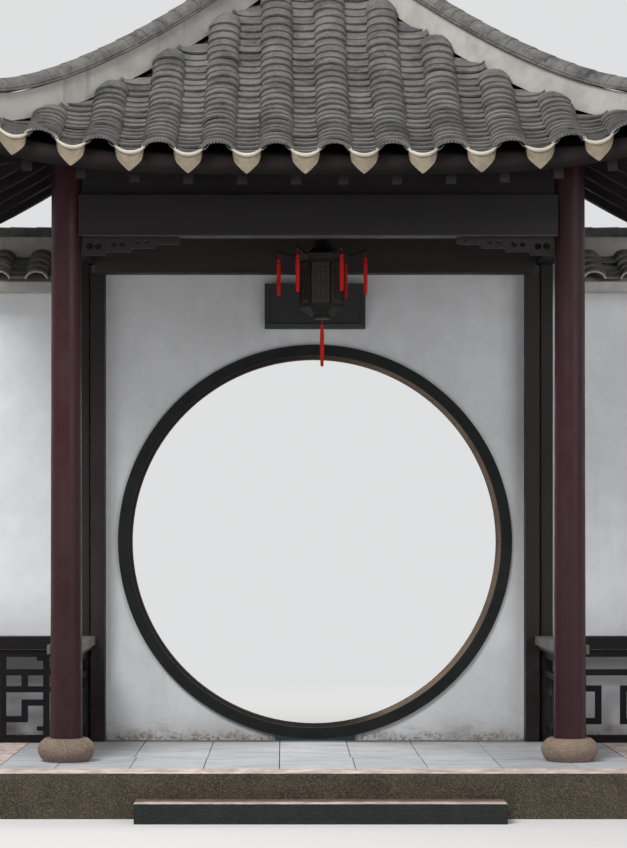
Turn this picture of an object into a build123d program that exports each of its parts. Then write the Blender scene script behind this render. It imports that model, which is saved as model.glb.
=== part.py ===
from build123d import *
import math
import os

# A moon gate: a white garden wall with a round opening in a ring of dark blocks, and a
# half pavilion in front of it, with two round columns, benches, a hipped roof and a lantern.
# Millimetres. X runs along the wall, -Y is the front, Z is up from the ground.
# The origin is under the middle of the wall, at ground level.

# Levels
lower_rise = 92
upper_rise = 118
floor_z = lower_rise + upper_rise

# Wall and its round opening
wall_thickness = 300
wall_half_length = 2600
side_wall_height = 2400
gate_wall_margin = 88
opening_radius = 1000
ring_face = 58
opening_lift = 66
ring_proud = 18
ring_lap = 12
lining_thickness = 46
block_count = 36
block_joint = 1.5
sill_width = 430

# Platform and steps
platform_side_margin = 524
platform_front_margin = 624
edge_stone_width = 230
lower_step_half_width = 845
lower_step_tread = 200
back_step_half_width = 800
back_step_depth = 360
plinth_depth = 260

# Timber frame
column_radius = 78
column_top_radius = 72
column_from_jamb = 103
base_stone_radius = 138
base_stone_foot = 110
base_stone_neck = 103
base_stone_height = 112
beam_bottom = 2550
beam_height = 200
beam_depth = 96
wall_beam_bottom = 2500
wall_beam_height = 230
frieze_board_thickness = 30
purlin_radius = 55
purlin_overhang = 45
jamb_from_ring = 65
jamb_width = 72
jamb_depth = 100
wall_post_gap = 14
wall_post_width = 63
wall_post_depth = 62
bracket_length = 470
bracket_height = 90
bracket_thickness = 30
fit = 0.3

# Benches and their lattice
seat_top = 562
seat_thickness = 66
seat_board = 44
seat_depth = 150
seat_groove = 5
lattice_thickness = 30
lattice_bar = 32
lattice_top_band = 36
lattice_foot = 40
window_height = 58
turn_low = 100
turn_high = 188
frame_rail_gap = 66
stub_length = 34
stub_height = 20
stub_foot = 24
foot_stub_height = 22
window_first = 106
window_pitch = 115
frame_pitch = 290
end_post_width = 90
end_post_height = 640
end_post_depth = 120
bench_gap_to_wall = 40

# Plaque over the opening
plaque_width = 540
plaque_height = 238
plaque_bottom = 2208
plaque_thickness = 28
plaque_lean = 50
plaque_frame = 24
plaque_recess = 9
plaque_hook = 14

# Half pavilion roof
eave_overhang = 574
ridge_half = 50
rafter_foot_over_beam = 337.4194
slope_fall = 1098.4
slope_hollow = 183.4
deck_thickness = 116
corner_lift = 210
rafter_depth = 60
rafter_width = 46
rafter_spacing = 250
rafter_first = 110
rafter_back_from_eave = 45
hip_rafter_width = 84
hip_rafter_depth = 105
hip_ridge_width = 110
hip_ridge_height = 116
hip_ridge_foot = 20
hip_end_drop = 10
hip_end_rise = 25
hip_tip_low = 40
hip_tip_rise = 85
slope_clearance = 6
hip_tip_reach = 90
verge_width = 96
verge_height = 77
gable_cap_overhang = 40
gable_bed = 2.0
apex_bed = 3.5
apex_block_width = 250
apex_block_height = 197

# Coping of the side walls
coping_overhang = 150
coping_rise = 150
coping_eave_thickness = 46
coping_ridge_width = 100
coping_ridge_height = 120

# Lantern, with its levels measured from the paving
lantern_x = 28
lantern_out = 620
lantern_turn = -4.5
lantern_bar_size = 80
arm_reach = 228
body_radius = 117
glass_bottom = 2275
glass_height = 211
glass_thickness = 3
frame_bar = 11
rim_height = 15
base_height = 56
base_radius = 66
canopy_height = 62
canopy_radius = 142
crown_radius = 52
crown_height = 44
arm_width = 9
arm_rise = 26
tassel_length = 180
tassel_radius = 10
tassel_bead_radius = 8
tassel_string = 26
bottom_tassel_length = 205
hook_wire = 4
hook_radius = 16
hook_shank = 30
ring_wire = 3
ring_radius = 14
stem_radius = 5

front = -wall_thickness / 2
back = wall_thickness / 2
ring_centre_height = opening_radius + opening_lift
jamb_inner_x = opening_radius + ring_face + jamb_from_ring
column_x = jamb_inner_x + column_from_jamb
column_out = column_x - ridge_half
eave_out = column_out + eave_overhang
platform_half_width = column_x + platform_side_margin
platform_depth = column_out + platform_front_margin
column_y = front - column_out
ring_centre_z = floor_z + ring_centre_height
ring_outer = opening_radius + ring_face
lining_outer = opening_radius + lining_thickness
eave_x = eave_out + ridge_half
wall_post_x = jamb_inner_x + jamb_width + wall_post_gap
wall_post_outer_x = wall_post_x + wall_post_width
gate_wall_half = wall_post_outer_x + gate_wall_margin
steepness = (slope_fall - 2 * slope_hollow * column_out / 1000) / 1000
fall_to_column = slope_fall * column_out / 1000 - slope_hollow * (column_out / 1000) ** 2
rafter_foot = beam_bottom + beam_height + rafter_foot_over_beam
apex_height = rafter_foot + fall_to_column
purlin_height = rafter_foot - rafter_depth - purlin_radius * math.sqrt(1 + steepness ** 2) - fit
column_height = purlin_height - purlin_radius
lantern_y = front - lantern_out
bar_bottom = floor_z + beam_bottom + beam_height
hook_centre_z = bar_bottom - hook_shank - hook_radius
pivot_z = hook_centre_z - hook_radius
ring_top_z = pivot_z + hook_wire + ring_wire + fit


def box(x0, x1, y0, y1, z0, z1):
    """A block between two corners."""
    middle = Pos((x0 + x1) / 2, (y0 + y1) / 2, (z0 + z1) / 2)
    return middle * Box(abs(x1 - x0), abs(y1 - y0), abs(z1 - z0))


def mirrored(shape):
    """The same shape on the other side of the gate's middle."""
    return shape.mirror(Plane.YZ)


def both_sides(*shapes):
    """The shapes and their mirror images, as separate solids of one node."""
    return Compound(list(shapes) + [mirrored(shape) for shape in shapes])


def along_y(radius, y0, y1, x=0, z=0):
    """A round bar that runs along Y."""
    bar = Cylinder(radius, abs(y1 - y0))
    return Pos(x, (y0 + y1) / 2, z) * Rot(90, 0, 0) * bar


def along_x(radius, x0, x1, y=0, z=0):
    """A round bar that runs along X."""
    bar = Cylinder(radius, abs(x1 - x0))
    return Pos((x0 + x1) / 2, y, z) * Rot(0, 90, 0) * bar


def fused(shapes):
    """Pieces of one carved or jointed panel, joined where they cross."""
    whole = shapes[0]
    for shape in shapes[1:]:
        whole = whole + shape
    return whole


def slope_z(out):
    """Height of the roof boards' underside above ground, a distance out from the wall."""
    run = out / 1000
    return floor_z + apex_height - slope_fall * run + slope_hollow * run * run


def lift_at(x, out):
    """How far the eave rises towards a corner."""
    share = min(abs(x) / eave_x, 1.2) * min(max(out, 0) / eave_out, 1.2)
    return corner_lift * share ** 4


def front_section(out, half, low, high):
    """Upright section of the front slope, parallel to the wall."""
    places = [-1, -0.8, -0.5, 0, 0.5, 0.8, 1]
    line = [(half * place, slope_z(out) + lift_at(half * place, out)) for place in places]
    lower = Spline(*[(x, z + low) for x, z in line])
    upper = Spline(*[(x, z + high) for x, z in line])
    ends = [Line(lower @ 0, upper @ 0), Line(lower @ 1, upper @ 1)]
    face = make_face(Curve() + [lower, upper] + ends)
    return Plane(origin=(0, front - out, 0), x_dir=(1, 0, 0), z_dir=(0, -1, 0)) * face


def side_section(x, length, low, high):
    """Upright section of a side slope, square to the wall."""
    places = [0, 0.4, 0.7, 0.88, 1]
    out = x - ridge_half
    line = [(length * place, slope_z(out) + lift_at(x, length * place)) for place in places]
    lower = Spline(*[(y, z + low) for y, z in line])
    upper = Spline(*[(y, z + high) for y, z in line])
    ends = [Line(lower @ 0, upper @ 0), Line(lower @ 1, upper @ 1)]
    face = make_face(Curve() + [lower, upper] + ends)
    return Plane(origin=(x, front, 0), x_dir=(0, -1, 0), z_dir=(-1, 0, 0)) * face


def front_slope(low, high):
    """The front slope of the roof between two heights over the boards' underside."""
    outs = [10, eave_out * 0.2, eave_out * 0.4, eave_out * 0.6, eave_out * 0.8, eave_out]
    sections = [front_section(out, out + ridge_half - slope_clearance, low, high) for out in outs]
    return loft(sections)


def side_slope(low, high):
    """The right-hand slope of the roof between two heights over the boards' underside."""
    first = ridge_half + 30
    shares = [0, 0.2, 0.4, 0.6, 0.8, 1]
    xs = [first + (eave_x - first) * share for share in shares]
    sections = [side_section(x, x - ridge_half - slope_clearance, low, high) for x in xs]
    return loft(sections)


def export(name, shape):
    """Write one node's solids."""
    shape.label = name
    export_step(shape, os.path.join("parts", name + ".step"))


def add_platform():
    """Paved platform with its edge stones, the lower step and the step behind the gate."""
    outer = front - platform_depth
    inner_edge = outer + edge_stone_width
    side_edge = platform_half_width - edge_stone_width
    export("platform", box(-side_edge, side_edge, inner_edge, front, 0, floor_z))
    export("front_edge_stone",
           box(-platform_half_width, platform_half_width, outer, inner_edge, 0, floor_z))
    export("side_edge_stones",
           both_sides(box(side_edge, platform_half_width, inner_edge, front, 0, floor_z)))
    plinth = box(platform_half_width, wall_half_length, front - plinth_depth, front, 0, floor_z)
    export("side_plinths", both_sides(plinth))
    export("lower_step", box(-lower_step_half_width, lower_step_half_width,
                             outer - lower_step_tread, outer, 0, lower_rise))
    export("back_step", box(-back_step_half_width, back_step_half_width,
                            back, back + back_step_depth, 0, upper_rise))


def gable_profile():
    """Outline of the gate wall up to the level of the roof boards' upper face."""
    shares = [0, 0.2, 0.4, 0.6, 0.8, 1]
    xs = [ridge_half + (gate_wall_half - ridge_half) * share for share in shares]
    line = [(x, slope_z(x - ridge_half) + deck_thickness) for x in xs]
    right = Spline(*line)
    left = Spline(*[(-x, z) for x, z in line])
    edges = [right, left, Line(left @ 0, right @ 0), Line(right @ 1, (gate_wall_half, 0)),
             Line((gate_wall_half, 0), (-gate_wall_half, 0)), Line((-gate_wall_half, 0), left @ 1)]
    return make_face(Curve() + edges)


def add_walls():
    """The gate wall with its round hole and the lower walls on both sides."""
    face = Plane(origin=(0, back, 0), x_dir=(1, 0, 0), z_dir=(0, -1, 0)) * gable_profile()
    wall = extrude(face, amount=wall_thickness, dir=(0, -1, 0))
    hole = along_y(lining_outer, front - 10, back + 10, z=ring_centre_z)
    export("gate_wall", wall - hole)
    side = box(gate_wall_half, wall_half_length, front, back, 0, floor_z + side_wall_height)
    export("right_wall", side)
    export("left_wall", mirrored(side))


def ring_block(inner, outer, y0, y1, start, sweep):
    """One curved block of a ring round the opening, between two angles."""
    end = start + sweep
    points = [(radius * math.cos(math.radians(angle)), radius * math.sin(math.radians(angle)))
              for radius, angle in ((inner, start), (inner, start + sweep / 2), (inner, end),
                                    (outer, end), (outer, start + sweep / 2), (outer, start))]
    edges = [ThreePointArc(points[0], points[1], points[2]), Line(points[2], points[3]),
             ThreePointArc(points[3], points[4], points[5]), Line(points[5], points[0])]
    plane = Plane(origin=(0, y1, ring_centre_z), x_dir=(1, 0, 0), z_dir=(0, -1, 0))
    return extrude(plane * make_face(Curve() + edges), amount=abs(y1 - y0), dir=(0, -1, 0))


def ring_of_blocks(inner, outer, y0, y1, count):
    """A full ring of like blocks with open joints."""
    joint = math.degrees(block_joint / opening_radius)
    step = 360 / count
    return Compound([ring_block(inner, outer, y0, y1, 90 + step * i + joint / 2, step - joint)
                     for i in range(count)])


def add_ring():
    """Dark trim on both faces of the wall and the lining of the opening."""
    trim_inner = opening_radius
    export("ring_lining", ring_of_blocks(opening_radius, lining_outer - fit,
                                         front + ring_lap, back - ring_lap, block_count))
    front_trim = ring_of_blocks(trim_inner, ring_outer, front - ring_proud, front, block_count // 2)
    export("front_ring", front_trim)
    back_trim = ring_of_blocks(trim_inner, ring_outer, back, back + ring_proud, block_count // 2)
    export("back_ring", back_trim)
    half = sill_width / 2
    rise = ring_centre_height - math.sqrt(ring_outer ** 2 - half ** 2)
    blank = box(-half, half, front - ring_proud, front, floor_z, floor_z + rise)
    room = along_y(ring_outer + fit, front - wall_thickness, back, z=ring_centre_z)
    export("ring_sill", blank - room)


def base_stone():
    """A drum-shaped stone under a column, turned from its bulging outline."""
    middle = base_stone_height * 0.62
    side = Spline((base_stone_foot, 0), (base_stone_radius, middle), (base_stone_neck, base_stone_height))
    outline = [Line((0, 0), (base_stone_foot, 0)), side,
               Line((base_stone_neck, base_stone_height), (0, base_stone_height)),
               Line((0, base_stone_height), (0, 0))]
    drum = revolve(Plane.XZ * make_face(Curve() + outline), Axis.Z)
    return Pos(column_x, column_y, floor_z) * drum


def add_timber_frame():
    """Columns, beams, purlins, wall posts and the bar that carries the lantern."""
    export("base_stones", both_sides(base_stone()))
    shaft_height = column_height - base_stone_height
    shaft = Pos(column_x, column_y, floor_z + base_stone_height + shaft_height / 2)
    column = shaft * Cone(column_radius, column_top_radius, shaft_height)
    export("right_column", column)
    export("left_column", mirrored(column))
    room = Pos(column_x, column_y, floor_z + column_height / 2)
    room = room * Cylinder(column_radius + fit, column_height + 2 * column_radius)
    rooms = room + mirrored(room)
    beam_z = floor_z + beam_bottom
    half = beam_depth / 2
    front_beam = box(-column_x, column_x, column_y - half, column_y + half,
                     beam_z, beam_z + beam_height) - rooms
    export("front_beam", front_beam)
    side_beam = box(column_x - half, column_x + half, column_y, front,
                    beam_z, beam_z + beam_height) - rooms
    export("side_beams", both_sides(side_beam))
    board_half = frieze_board_thickness / 2
    board_top = floor_z + column_height
    board = box(-column_x, column_x, column_y - board_half, column_y + board_half,
                beam_z + beam_height, board_top) - rooms
    side_board = box(column_x - board_half, column_x + board_half, column_y, front,
                     beam_z + beam_height, board_top) - rooms
    export("frieze_boards", Compound([board, side_board, mirrored(side_board)]))
    purlin_z = floor_z + purlin_height
    reach = column_x + purlin_overhang
    export("front_purlin", along_x(purlin_radius, -reach, reach, column_y, purlin_z))
    side_purlin = along_y(purlin_radius, column_y + purlin_radius + fit, front, column_x, purlin_z)
    export("side_purlins", both_sides(side_purlin))
    add_wall_timbers()


def add_wall_timbers():
    """Jambs, posts and beam on the wall's face, and the carved brackets under the beam."""
    wall_beam_top = floor_z + wall_beam_bottom + wall_beam_height
    jamb = box(jamb_inner_x, jamb_inner_x + jamb_width, front - jamb_depth, front,
               floor_z, floor_z + wall_beam_bottom)
    export("jambs", both_sides(jamb))
    post = box(wall_post_x, wall_post_outer_x, front - wall_post_depth, front,
               floor_z, floor_z + beam_bottom)
    export("wall_posts", both_sides(post))
    beam_half = column_x - beam_depth / 2 - fit
    beam = box(-beam_half, beam_half, front - jamb_depth, front,
               floor_z + wall_beam_bottom, wall_beam_top)
    export("wall_beam", beam)
    inner = column_x - frieze_board_thickness / 2
    half = lantern_bar_size / 2
    export("lantern_bar", box(-inner, inner, lantern_y - half, lantern_y + half,
                              bar_bottom, bar_bottom + lantern_bar_size))
    export("brackets", both_sides(carved_bracket()))


def carved_bracket():
    """Openwork bracket under the front beam, with a stepped cloud edge."""
    top = floor_z + beam_bottom
    outer = column_x - column_radius - fit
    steps = 4
    run = bracket_length / steps
    blank = None
    for i in range(steps):
        depth = bracket_height * (1 - i / (steps + 1))
        x1 = outer - i * run
        piece = box(x1 - run, x1, column_y - bracket_thickness / 2,
                    column_y + bracket_thickness / 2, top - depth, top)
        blank = piece if blank is None else blank + piece
        nose = along_y(depth * 0.22, column_y - bracket_thickness / 2,
                       column_y + bracket_thickness / 2, x1 - run, top - depth * 0.62)
        blank = blank + nose
    for i in range(steps):
        depth = bracket_height * (1 - i / (steps + 1))
        x = outer - (i + 0.5) * run
        hole = along_y(depth * 0.2, column_y - bracket_thickness, column_y + bracket_thickness,
                       x - run * 0.16, top - depth * 0.5)
        slot = along_y(depth * 0.2, column_y - bracket_thickness, column_y + bracket_thickness,
                       x + run * 0.2, top - depth * 0.5)
        blank = blank - hole - slot
    return blank


def add_plaque():
    """Blank name board that leans out over the opening, and the hooks at its top."""
    low = floor_z + plaque_bottom
    high = low + plaque_height
    half = plaque_width / 2
    corners = [(front, low), (front - plaque_thickness, low),
               (front - plaque_thickness - plaque_lean, high), (front - plaque_lean, high)]
    side = make_face(Polyline(*corners, close=True))
    board = extrude(Plane.YZ.offset(-half) * side, amount=plaque_width)
    angle = math.degrees(math.atan2(plaque_lean, plaque_height))
    middle = Pos(0, front - plaque_thickness - plaque_lean / 2, (low + high) / 2) * Rot(angle, 0, 0)
    recess = Box(plaque_width - 2 * plaque_frame, 2 * plaque_recess,
                 plaque_height - 2 * plaque_frame)
    board = board - middle * recess
    hook_z = high - plaque_hook
    for x in (-plaque_width * 0.36, plaque_width * 0.36):
        board = board + box(x - plaque_hook / 2, x + plaque_hook / 2, front - plaque_lean,
                            front, hook_z - plaque_hook, hook_z)
    export("plaque", board)


def lattice_bars(length, pattern):
    """Upright and level bars of a panel as (x0, x1, z0, z1) from its lower inner corner."""
    bar = lattice_bar
    top = seat_top - seat_thickness - seat_groove
    band = top - lattice_top_band
    bars = [(0, length, 0, lattice_foot), (0, length, band, top),
            (0, bar, 0, top), (length - bar, length, 0, top)]
    upper = band - frame_rail_gap - bar
    bars.append((0, length, upper, upper + bar))
    if pattern == "windows":
        bars += window_bars(length, band, upper)
    else:
        bars += frame_bars(length, upper)
    return bars


def window_bars(length, band, upper):
    """Bars of a row of small windows over a run of S-shaped turns between posts."""
    bar = lattice_bar
    middle = upper - window_height - bar
    high = lattice_foot + turn_high
    low = lattice_foot + turn_low
    count = int((length - bar - window_first) / window_pitch)
    bars = [(0, length, middle, middle + bar)]
    for i in range(count):
        x = window_first + window_pitch * i
        bars.append((x - bar / 2, x + bar / 2, middle, upper))
    for i in range(0, count, 2):
        x = window_first + window_pitch * i
        turn = x + window_pitch
        end = min(turn + window_pitch, length)
        bars.append((x - bar / 2, x + bar / 2, 0, band))
        bars.append((x, turn + bar / 2, high - bar, high))
        bars.append((turn - bar / 2, turn + bar / 2, low - bar, high))
        bars.append((turn - bar / 2, end, low - bar, low))
        stub_end = x + bar / 2 + stub_length
        bars.append((x, stub_end, band - stub_height, band))
        stub_z = lattice_foot + stub_foot
        bars.append((x, stub_end, stub_z, stub_z + foot_stub_height))
    return bars


def frame_bars(length, upper):
    """Bars of a row of square frames, each held by a short link above and below."""
    bar = lattice_bar
    high = upper - 54
    low = lattice_foot + 58
    count = max(round(length / frame_pitch), 1)
    cell = length / count
    wide = cell * 0.66
    bars = []
    for i in range(count):
        x = cell * i
        link = x + wide / 2
        bars.append((x, x + wide, high - bar, high))
        bars.append((x, x + wide, low, low + bar))
        bars.append((x, x + bar, low, high))
        bars.append((x + wide - bar, x + wide, low, high))
        bars.append((link - bar / 2, link + bar / 2, high - bar, upper))
        bars.append((link - bar / 2, link + bar / 2, lattice_foot, low))
    return bars


def lattice_panel(length, pattern):
    """A lattice panel in the XZ plane, centred on its own thickness, corner at the origin."""
    half = lattice_thickness / 2
    return fused([box(x0, x1, -half, half, z0, z1)
                  for x0, x1, z0, z1 in lattice_bars(length, pattern)])


def add_benches():
    """Seats between columns and wall, and the seats along the wall with their end posts."""
    seat_z = floor_z + seat_top - seat_thickness
    room = Pos(column_x, column_y, floor_z + seat_top / 2)
    room = room * Cylinder(column_radius + fit, 2 * seat_top)
    seat_x = column_x + 20
    near = column_y
    far = front - wall_post_depth
    board_z = seat_z + seat_thickness - seat_board
    half = seat_depth / 2
    seat = box(seat_x - half, seat_x + half, near, far, board_z, board_z + seat_board)
    seat = seat + box(seat_x - half + 20, seat_x + half - 20, near, far, seat_z, board_z)
    jamb_room = box(0, jamb_inner_x + jamb_width + fit, front - jamb_depth - fit, front,
                    floor_z, floor_z + seat_top + 1)
    export("side_seats", both_sides(seat - room - jamb_room))
    panel_start = column_y + column_radius + fit
    length = far - panel_start
    place = Pos(column_x, panel_start, floor_z) * Rot(0, 0, 90)
    stone_room = Pos(column_x, column_y, floor_z) * Cylinder(
        base_stone_radius + 2, 2 * (base_stone_height + fit))
    panel = place * lattice_panel(length, "frames") - stone_room
    export("seat_lattices", both_sides(panel))
    inner_x = seat_x + seat_depth / 2 + fit
    outer_x = wall_half_length - end_post_width
    rear = front - bench_gap_to_wall
    rail = box(inner_x, outer_x, rear - seat_depth, rear, seat_z, seat_z + seat_thickness)
    export("wall_seats", both_sides(rail))
    post_y = rear - seat_depth / 2
    post = box(outer_x + fit, wall_half_length, post_y - end_post_depth / 2,
               post_y + end_post_depth / 2, floor_z, floor_z + end_post_height)
    export("end_posts", both_sides(post))
    panel_y = rear - seat_depth + 30
    panel_length = outer_x - inner_x
    right_panel = Pos(inner_x, panel_y, floor_z) * lattice_panel(panel_length, "frames")
    export("right_wall_lattice", right_panel)
    left_panel = Pos(inner_x, panel_y, floor_z) * lattice_panel(panel_length, "windows")
    export("left_wall_lattice", mirrored(left_panel))


def rafter_profile(outs, low, high):
    """Side outline of a rafter or ridge over distances out from the wall."""
    lower = Spline(*[(out, z) for out, z in zip(outs, low)])
    upper = Spline(*[(out, z) for out, z in zip(outs, high)])
    ends = [Line(lower @ 0, upper @ 0), Line(lower @ 1, upper @ 1)]
    return make_face(Curve() + [lower, upper] + ends)


def spread(start, end, count):
    """Evenly spaced values from start to end."""
    return [start + (end - start) * i / (count - 1) for i in range(count)]


def straight_rafter(start, end, place):
    """A rafter blank in the XZ plane; its top reaches above the roof boards."""
    outs = spread(start, end, 6)
    low = [slope_z(out) + lift_at(place, out) - rafter_depth for out in outs]
    high = [slope_z(out) + deck_thickness + corner_lift for out in outs]
    face = rafter_profile(outs, low, high)
    return Pos(0, rafter_width / 2, 0) * extrude(Plane.XZ * face, amount=rafter_width)


def add_rafters(front_room, side_room):
    """Rafters under the three slopes, cut to the curved boards above them."""
    hip_gap = hip_rafter_width / math.sqrt(2) + fit
    end = eave_out - rafter_back_from_eave
    places = []
    place = rafter_first
    while place < end - rafter_spacing / 4:
        places.append(place)
        place += rafter_spacing
    front_rafters = []
    side_rafters = []
    for place in places:
        start = max(place - ridge_half, 0) + hip_gap + rafter_width / 2
        blank = Pos(place, front, 0) * Rot(0, 0, -90) * straight_rafter(start, end, place)
        piece = blank - front_room
        front_rafters += [piece, mirrored(piece)]
        start = place + hip_gap + rafter_width / 2
        blank = Pos(ridge_half, front - place, 0) * straight_rafter(start, end, place)
        side_rafters.append(blank - side_room)
    export("front_rafters", Compound(front_rafters))
    export("side_rafters", both_sides(*side_rafters))


def hip_slab(outs, low, high, width):
    """An upright slab along the right-hand hip, between two curves over distances out."""
    root = math.sqrt(2)
    face = rafter_profile([out * root for out in outs], low, high)
    slab = Pos(0, width / 2, 0) * extrude(Plane.XZ * face, amount=width)
    return Pos(ridge_half, front, 0) * Rot(0, 0, -45) * slab


def hip_z(out):
    """Height of the hip line over the boards' underside, out from the wall."""
    return slope_z(out) + lift_at(out + ridge_half, out)


def add_hips(front_room, right_room, front_roof, right_roof):
    """Hip rafters under the corners and the hip ridges with their upturned tips."""
    outs = spread(hip_rafter_width * 0.75, eave_out - fit, 8)
    low = [hip_z(out) - hip_rafter_depth for out in outs]
    high = [hip_z(out) - 1 for out in outs]
    rafter = hip_slab(outs, low, high, hip_rafter_width) - front_room - right_room
    notch_z = floor_z + purlin_height
    reach = column_x + 2 * hip_rafter_width
    rafter = rafter - along_x(purlin_radius + fit, column_x / 2, reach, column_y, notch_z)
    rafter = rafter - along_y(purlin_radius + fit, front - reach, front, column_x, notch_z)
    export("hip_rafters", both_sides(rafter))
    outs = spread(apex_block_width * 0.42, eave_out, 8) + [eave_out + hip_tip_reach]
    low = [hip_z(out) + hip_ridge_foot for out in outs]
    low[-1] = hip_z(eave_out) + deck_thickness + hip_tip_low
    low[-2] = hip_z(eave_out) + deck_thickness - hip_end_drop
    high = [hip_z(out) + deck_thickness + hip_ridge_height for out in outs]
    high[-2] = high[-2] + hip_end_rise
    high[-1] = hip_z(eave_out) + deck_thickness + hip_ridge_height + hip_tip_rise
    ridge = hip_slab(outs, low, high, hip_ridge_width) - front_roof - right_roof
    export("hip_ridges", both_sides(ridge))


def add_gable_edges():
    """Ridges along the gable's two edges, over the wall and the boards' rear edge."""
    xs = spread(apex_block_width / 2 + fit, eave_x, 8)
    low = [slope_z(x - ridge_half) + deck_thickness + gable_bed for x in xs]
    high = [z + verge_height for z in low]
    rear = back + gable_cap_overhang
    ridge = Pos(0, rear, 0) * extrude(Plane.XZ * rafter_profile(xs, low, high),
                                      amount=rear - front + verge_width)
    wall_end = gate_wall_half + gable_cap_overhang
    ridge = ridge - box(wall_end, 2 * eave_x, front, rear + 1, floor_z, floor_z + apex_height)
    hip_room = ridge_half + verge_width + hip_ridge_width / math.sqrt(2) + fit
    ridge = ridge - box(0, hip_room, front - verge_width - 1, front,
                        floor_z, floor_z + 2 * apex_height)
    export("gable_ridges", both_sides(ridge))


def add_roof():
    """Boards, rafters, hips, ridges and gable edges of the half pavilion's roof."""
    front_roof = front_slope(0, deck_thickness)
    right_roof = side_slope(0, deck_thickness)
    export("front_roof", front_roof)
    export("right_roof", right_roof)
    export("left_roof", mirrored(right_roof))
    room_height = deck_thickness + corner_lift * 2
    front_room = front_slope(0, room_height)
    right_room = side_slope(0, room_height)
    add_rafters(front_room, right_room)
    add_hips(front_room, right_room, front_roof, right_roof)
    add_gable_edges()
    export("apex_block", apex_block())


def apex_block():
    """Block on the roof's top, cut underneath to the wall's crest and the three slopes."""
    half = apex_block_width / 2
    low = slope_z(half - ridge_half) + deck_thickness
    rear = back + gable_cap_overhang
    block = box(-half, half, front - verge_width, rear, low, low + apex_block_height)
    crest = slope_z(0) + deck_thickness + fit
    edge = half - ridge_half + 5
    side_foot = slope_z(edge) + deck_thickness + apex_bed
    across = Polyline((-ridge_half - edge, side_foot), (-ridge_half, crest), (ridge_half, crest),
                      (ridge_half + edge, side_foot), (ridge_half + edge, 0),
                      (-ridge_half - edge, 0), close=True)
    side_room = Pos(0, rear + 1, 0) * extrude(Plane.XZ * make_face(across),
                                              amount=rear - front + verge_width + 2)
    reach = verge_width + 1
    front_foot = slope_z(reach) + deck_thickness + apex_bed
    along = Polyline((rear + 1, crest), (front, crest), (front - reach, front_foot),
                     (front - reach, 0), (rear + 1, 0), close=True)
    front_room = extrude(Plane.YZ.offset(-half - 1) * make_face(along), amount=2 * half + 2)
    return block - (side_room & front_room)


def add_coping():
    """Tiled coping and ridge of the side walls."""
    top = floor_z + side_wall_height
    edge = back + coping_overhang
    half = coping_ridge_width / 2
    crest = top + coping_eave_thickness + coping_rise
    corners = [(-edge, top), (-edge, top + coping_eave_thickness), (-half, crest),
               (half, crest), (edge, top + coping_eave_thickness), (edge, top)]
    face = Plane.YZ.offset(gate_wall_half) * make_face(Polyline(*corners, close=True))
    length = wall_half_length + coping_ridge_width / 2 - gate_wall_half
    coping = extrude(face, amount=length)
    coping = coping + box(gate_wall_half, gate_wall_half + length, -half, half,
                          crest, crest + coping_ridge_height)
    export("wall_copings", both_sides(coping))


def hexagon_prism(radius, z0, z1):
    """A six-sided block with a flat side to the front."""
    face = Pos(lantern_x, lantern_y, z0) * Rot(0, 0, lantern_turn) * RegularPolygon(radius, 6)
    return extrude(face, amount=z1 - z0, dir=(0, 0, 1))


def hexagon_taper(radius0, z0, radius1, z1):
    """A six-sided block that tapers between two levels."""
    lower = Pos(lantern_x, lantern_y, z0) * Rot(0, 0, lantern_turn) * RegularPolygon(radius0, 6)
    upper = Pos(lantern_x, lantern_y, z1) * Rot(0, 0, lantern_turn) * RegularPolygon(radius1, 6)
    return loft([lower, upper])


def at_corner(index, radius):
    """Place on the lantern's corner line, a distance from its middle."""
    angle = math.radians(60 * index + lantern_turn)
    return lantern_x + radius * math.cos(angle), lantern_y + radius * math.sin(angle)


def arm_z(radius):
    """Height of an arm's underside over its root, at a distance from the middle."""
    inner = canopy_radius * 0.8
    return arm_rise * ((radius - inner) / (arm_reach - inner)) ** 2


def lantern_arm(index, low):
    """One curved arm from the canopy to the tassel's hanging point."""
    radii = spread(canopy_radius * 0.8, arm_reach, 5)
    face = rafter_profile(radii, [arm_z(radius) for radius in radii],
                          [arm_z(radius) + 14 for radius in radii])
    arm = Pos(0, arm_width / 2, 0) * extrude(Plane.XZ * face, amount=arm_width)
    return Pos(lantern_x, lantern_y, low) * Rot(0, 0, 60 * index + lantern_turn) * arm


def tassel(x, y, top, length):
    """String, bead and skirt of one tassel, hanging from a point."""
    string = Pos(x, y, top - tassel_string / 2) * Cylinder(1.5, tassel_string)
    bead_z = top - tassel_string - tassel_bead_radius * 0.8
    bead = Pos(x, y, bead_z) * Sphere(tassel_bead_radius)
    skirt_top = bead_z - tassel_bead_radius * 0.6
    skirt = Pos(x, y, skirt_top - length / 2) * Cone(tassel_radius, tassel_radius * 0.55, length)
    return string + bead + skirt


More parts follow.
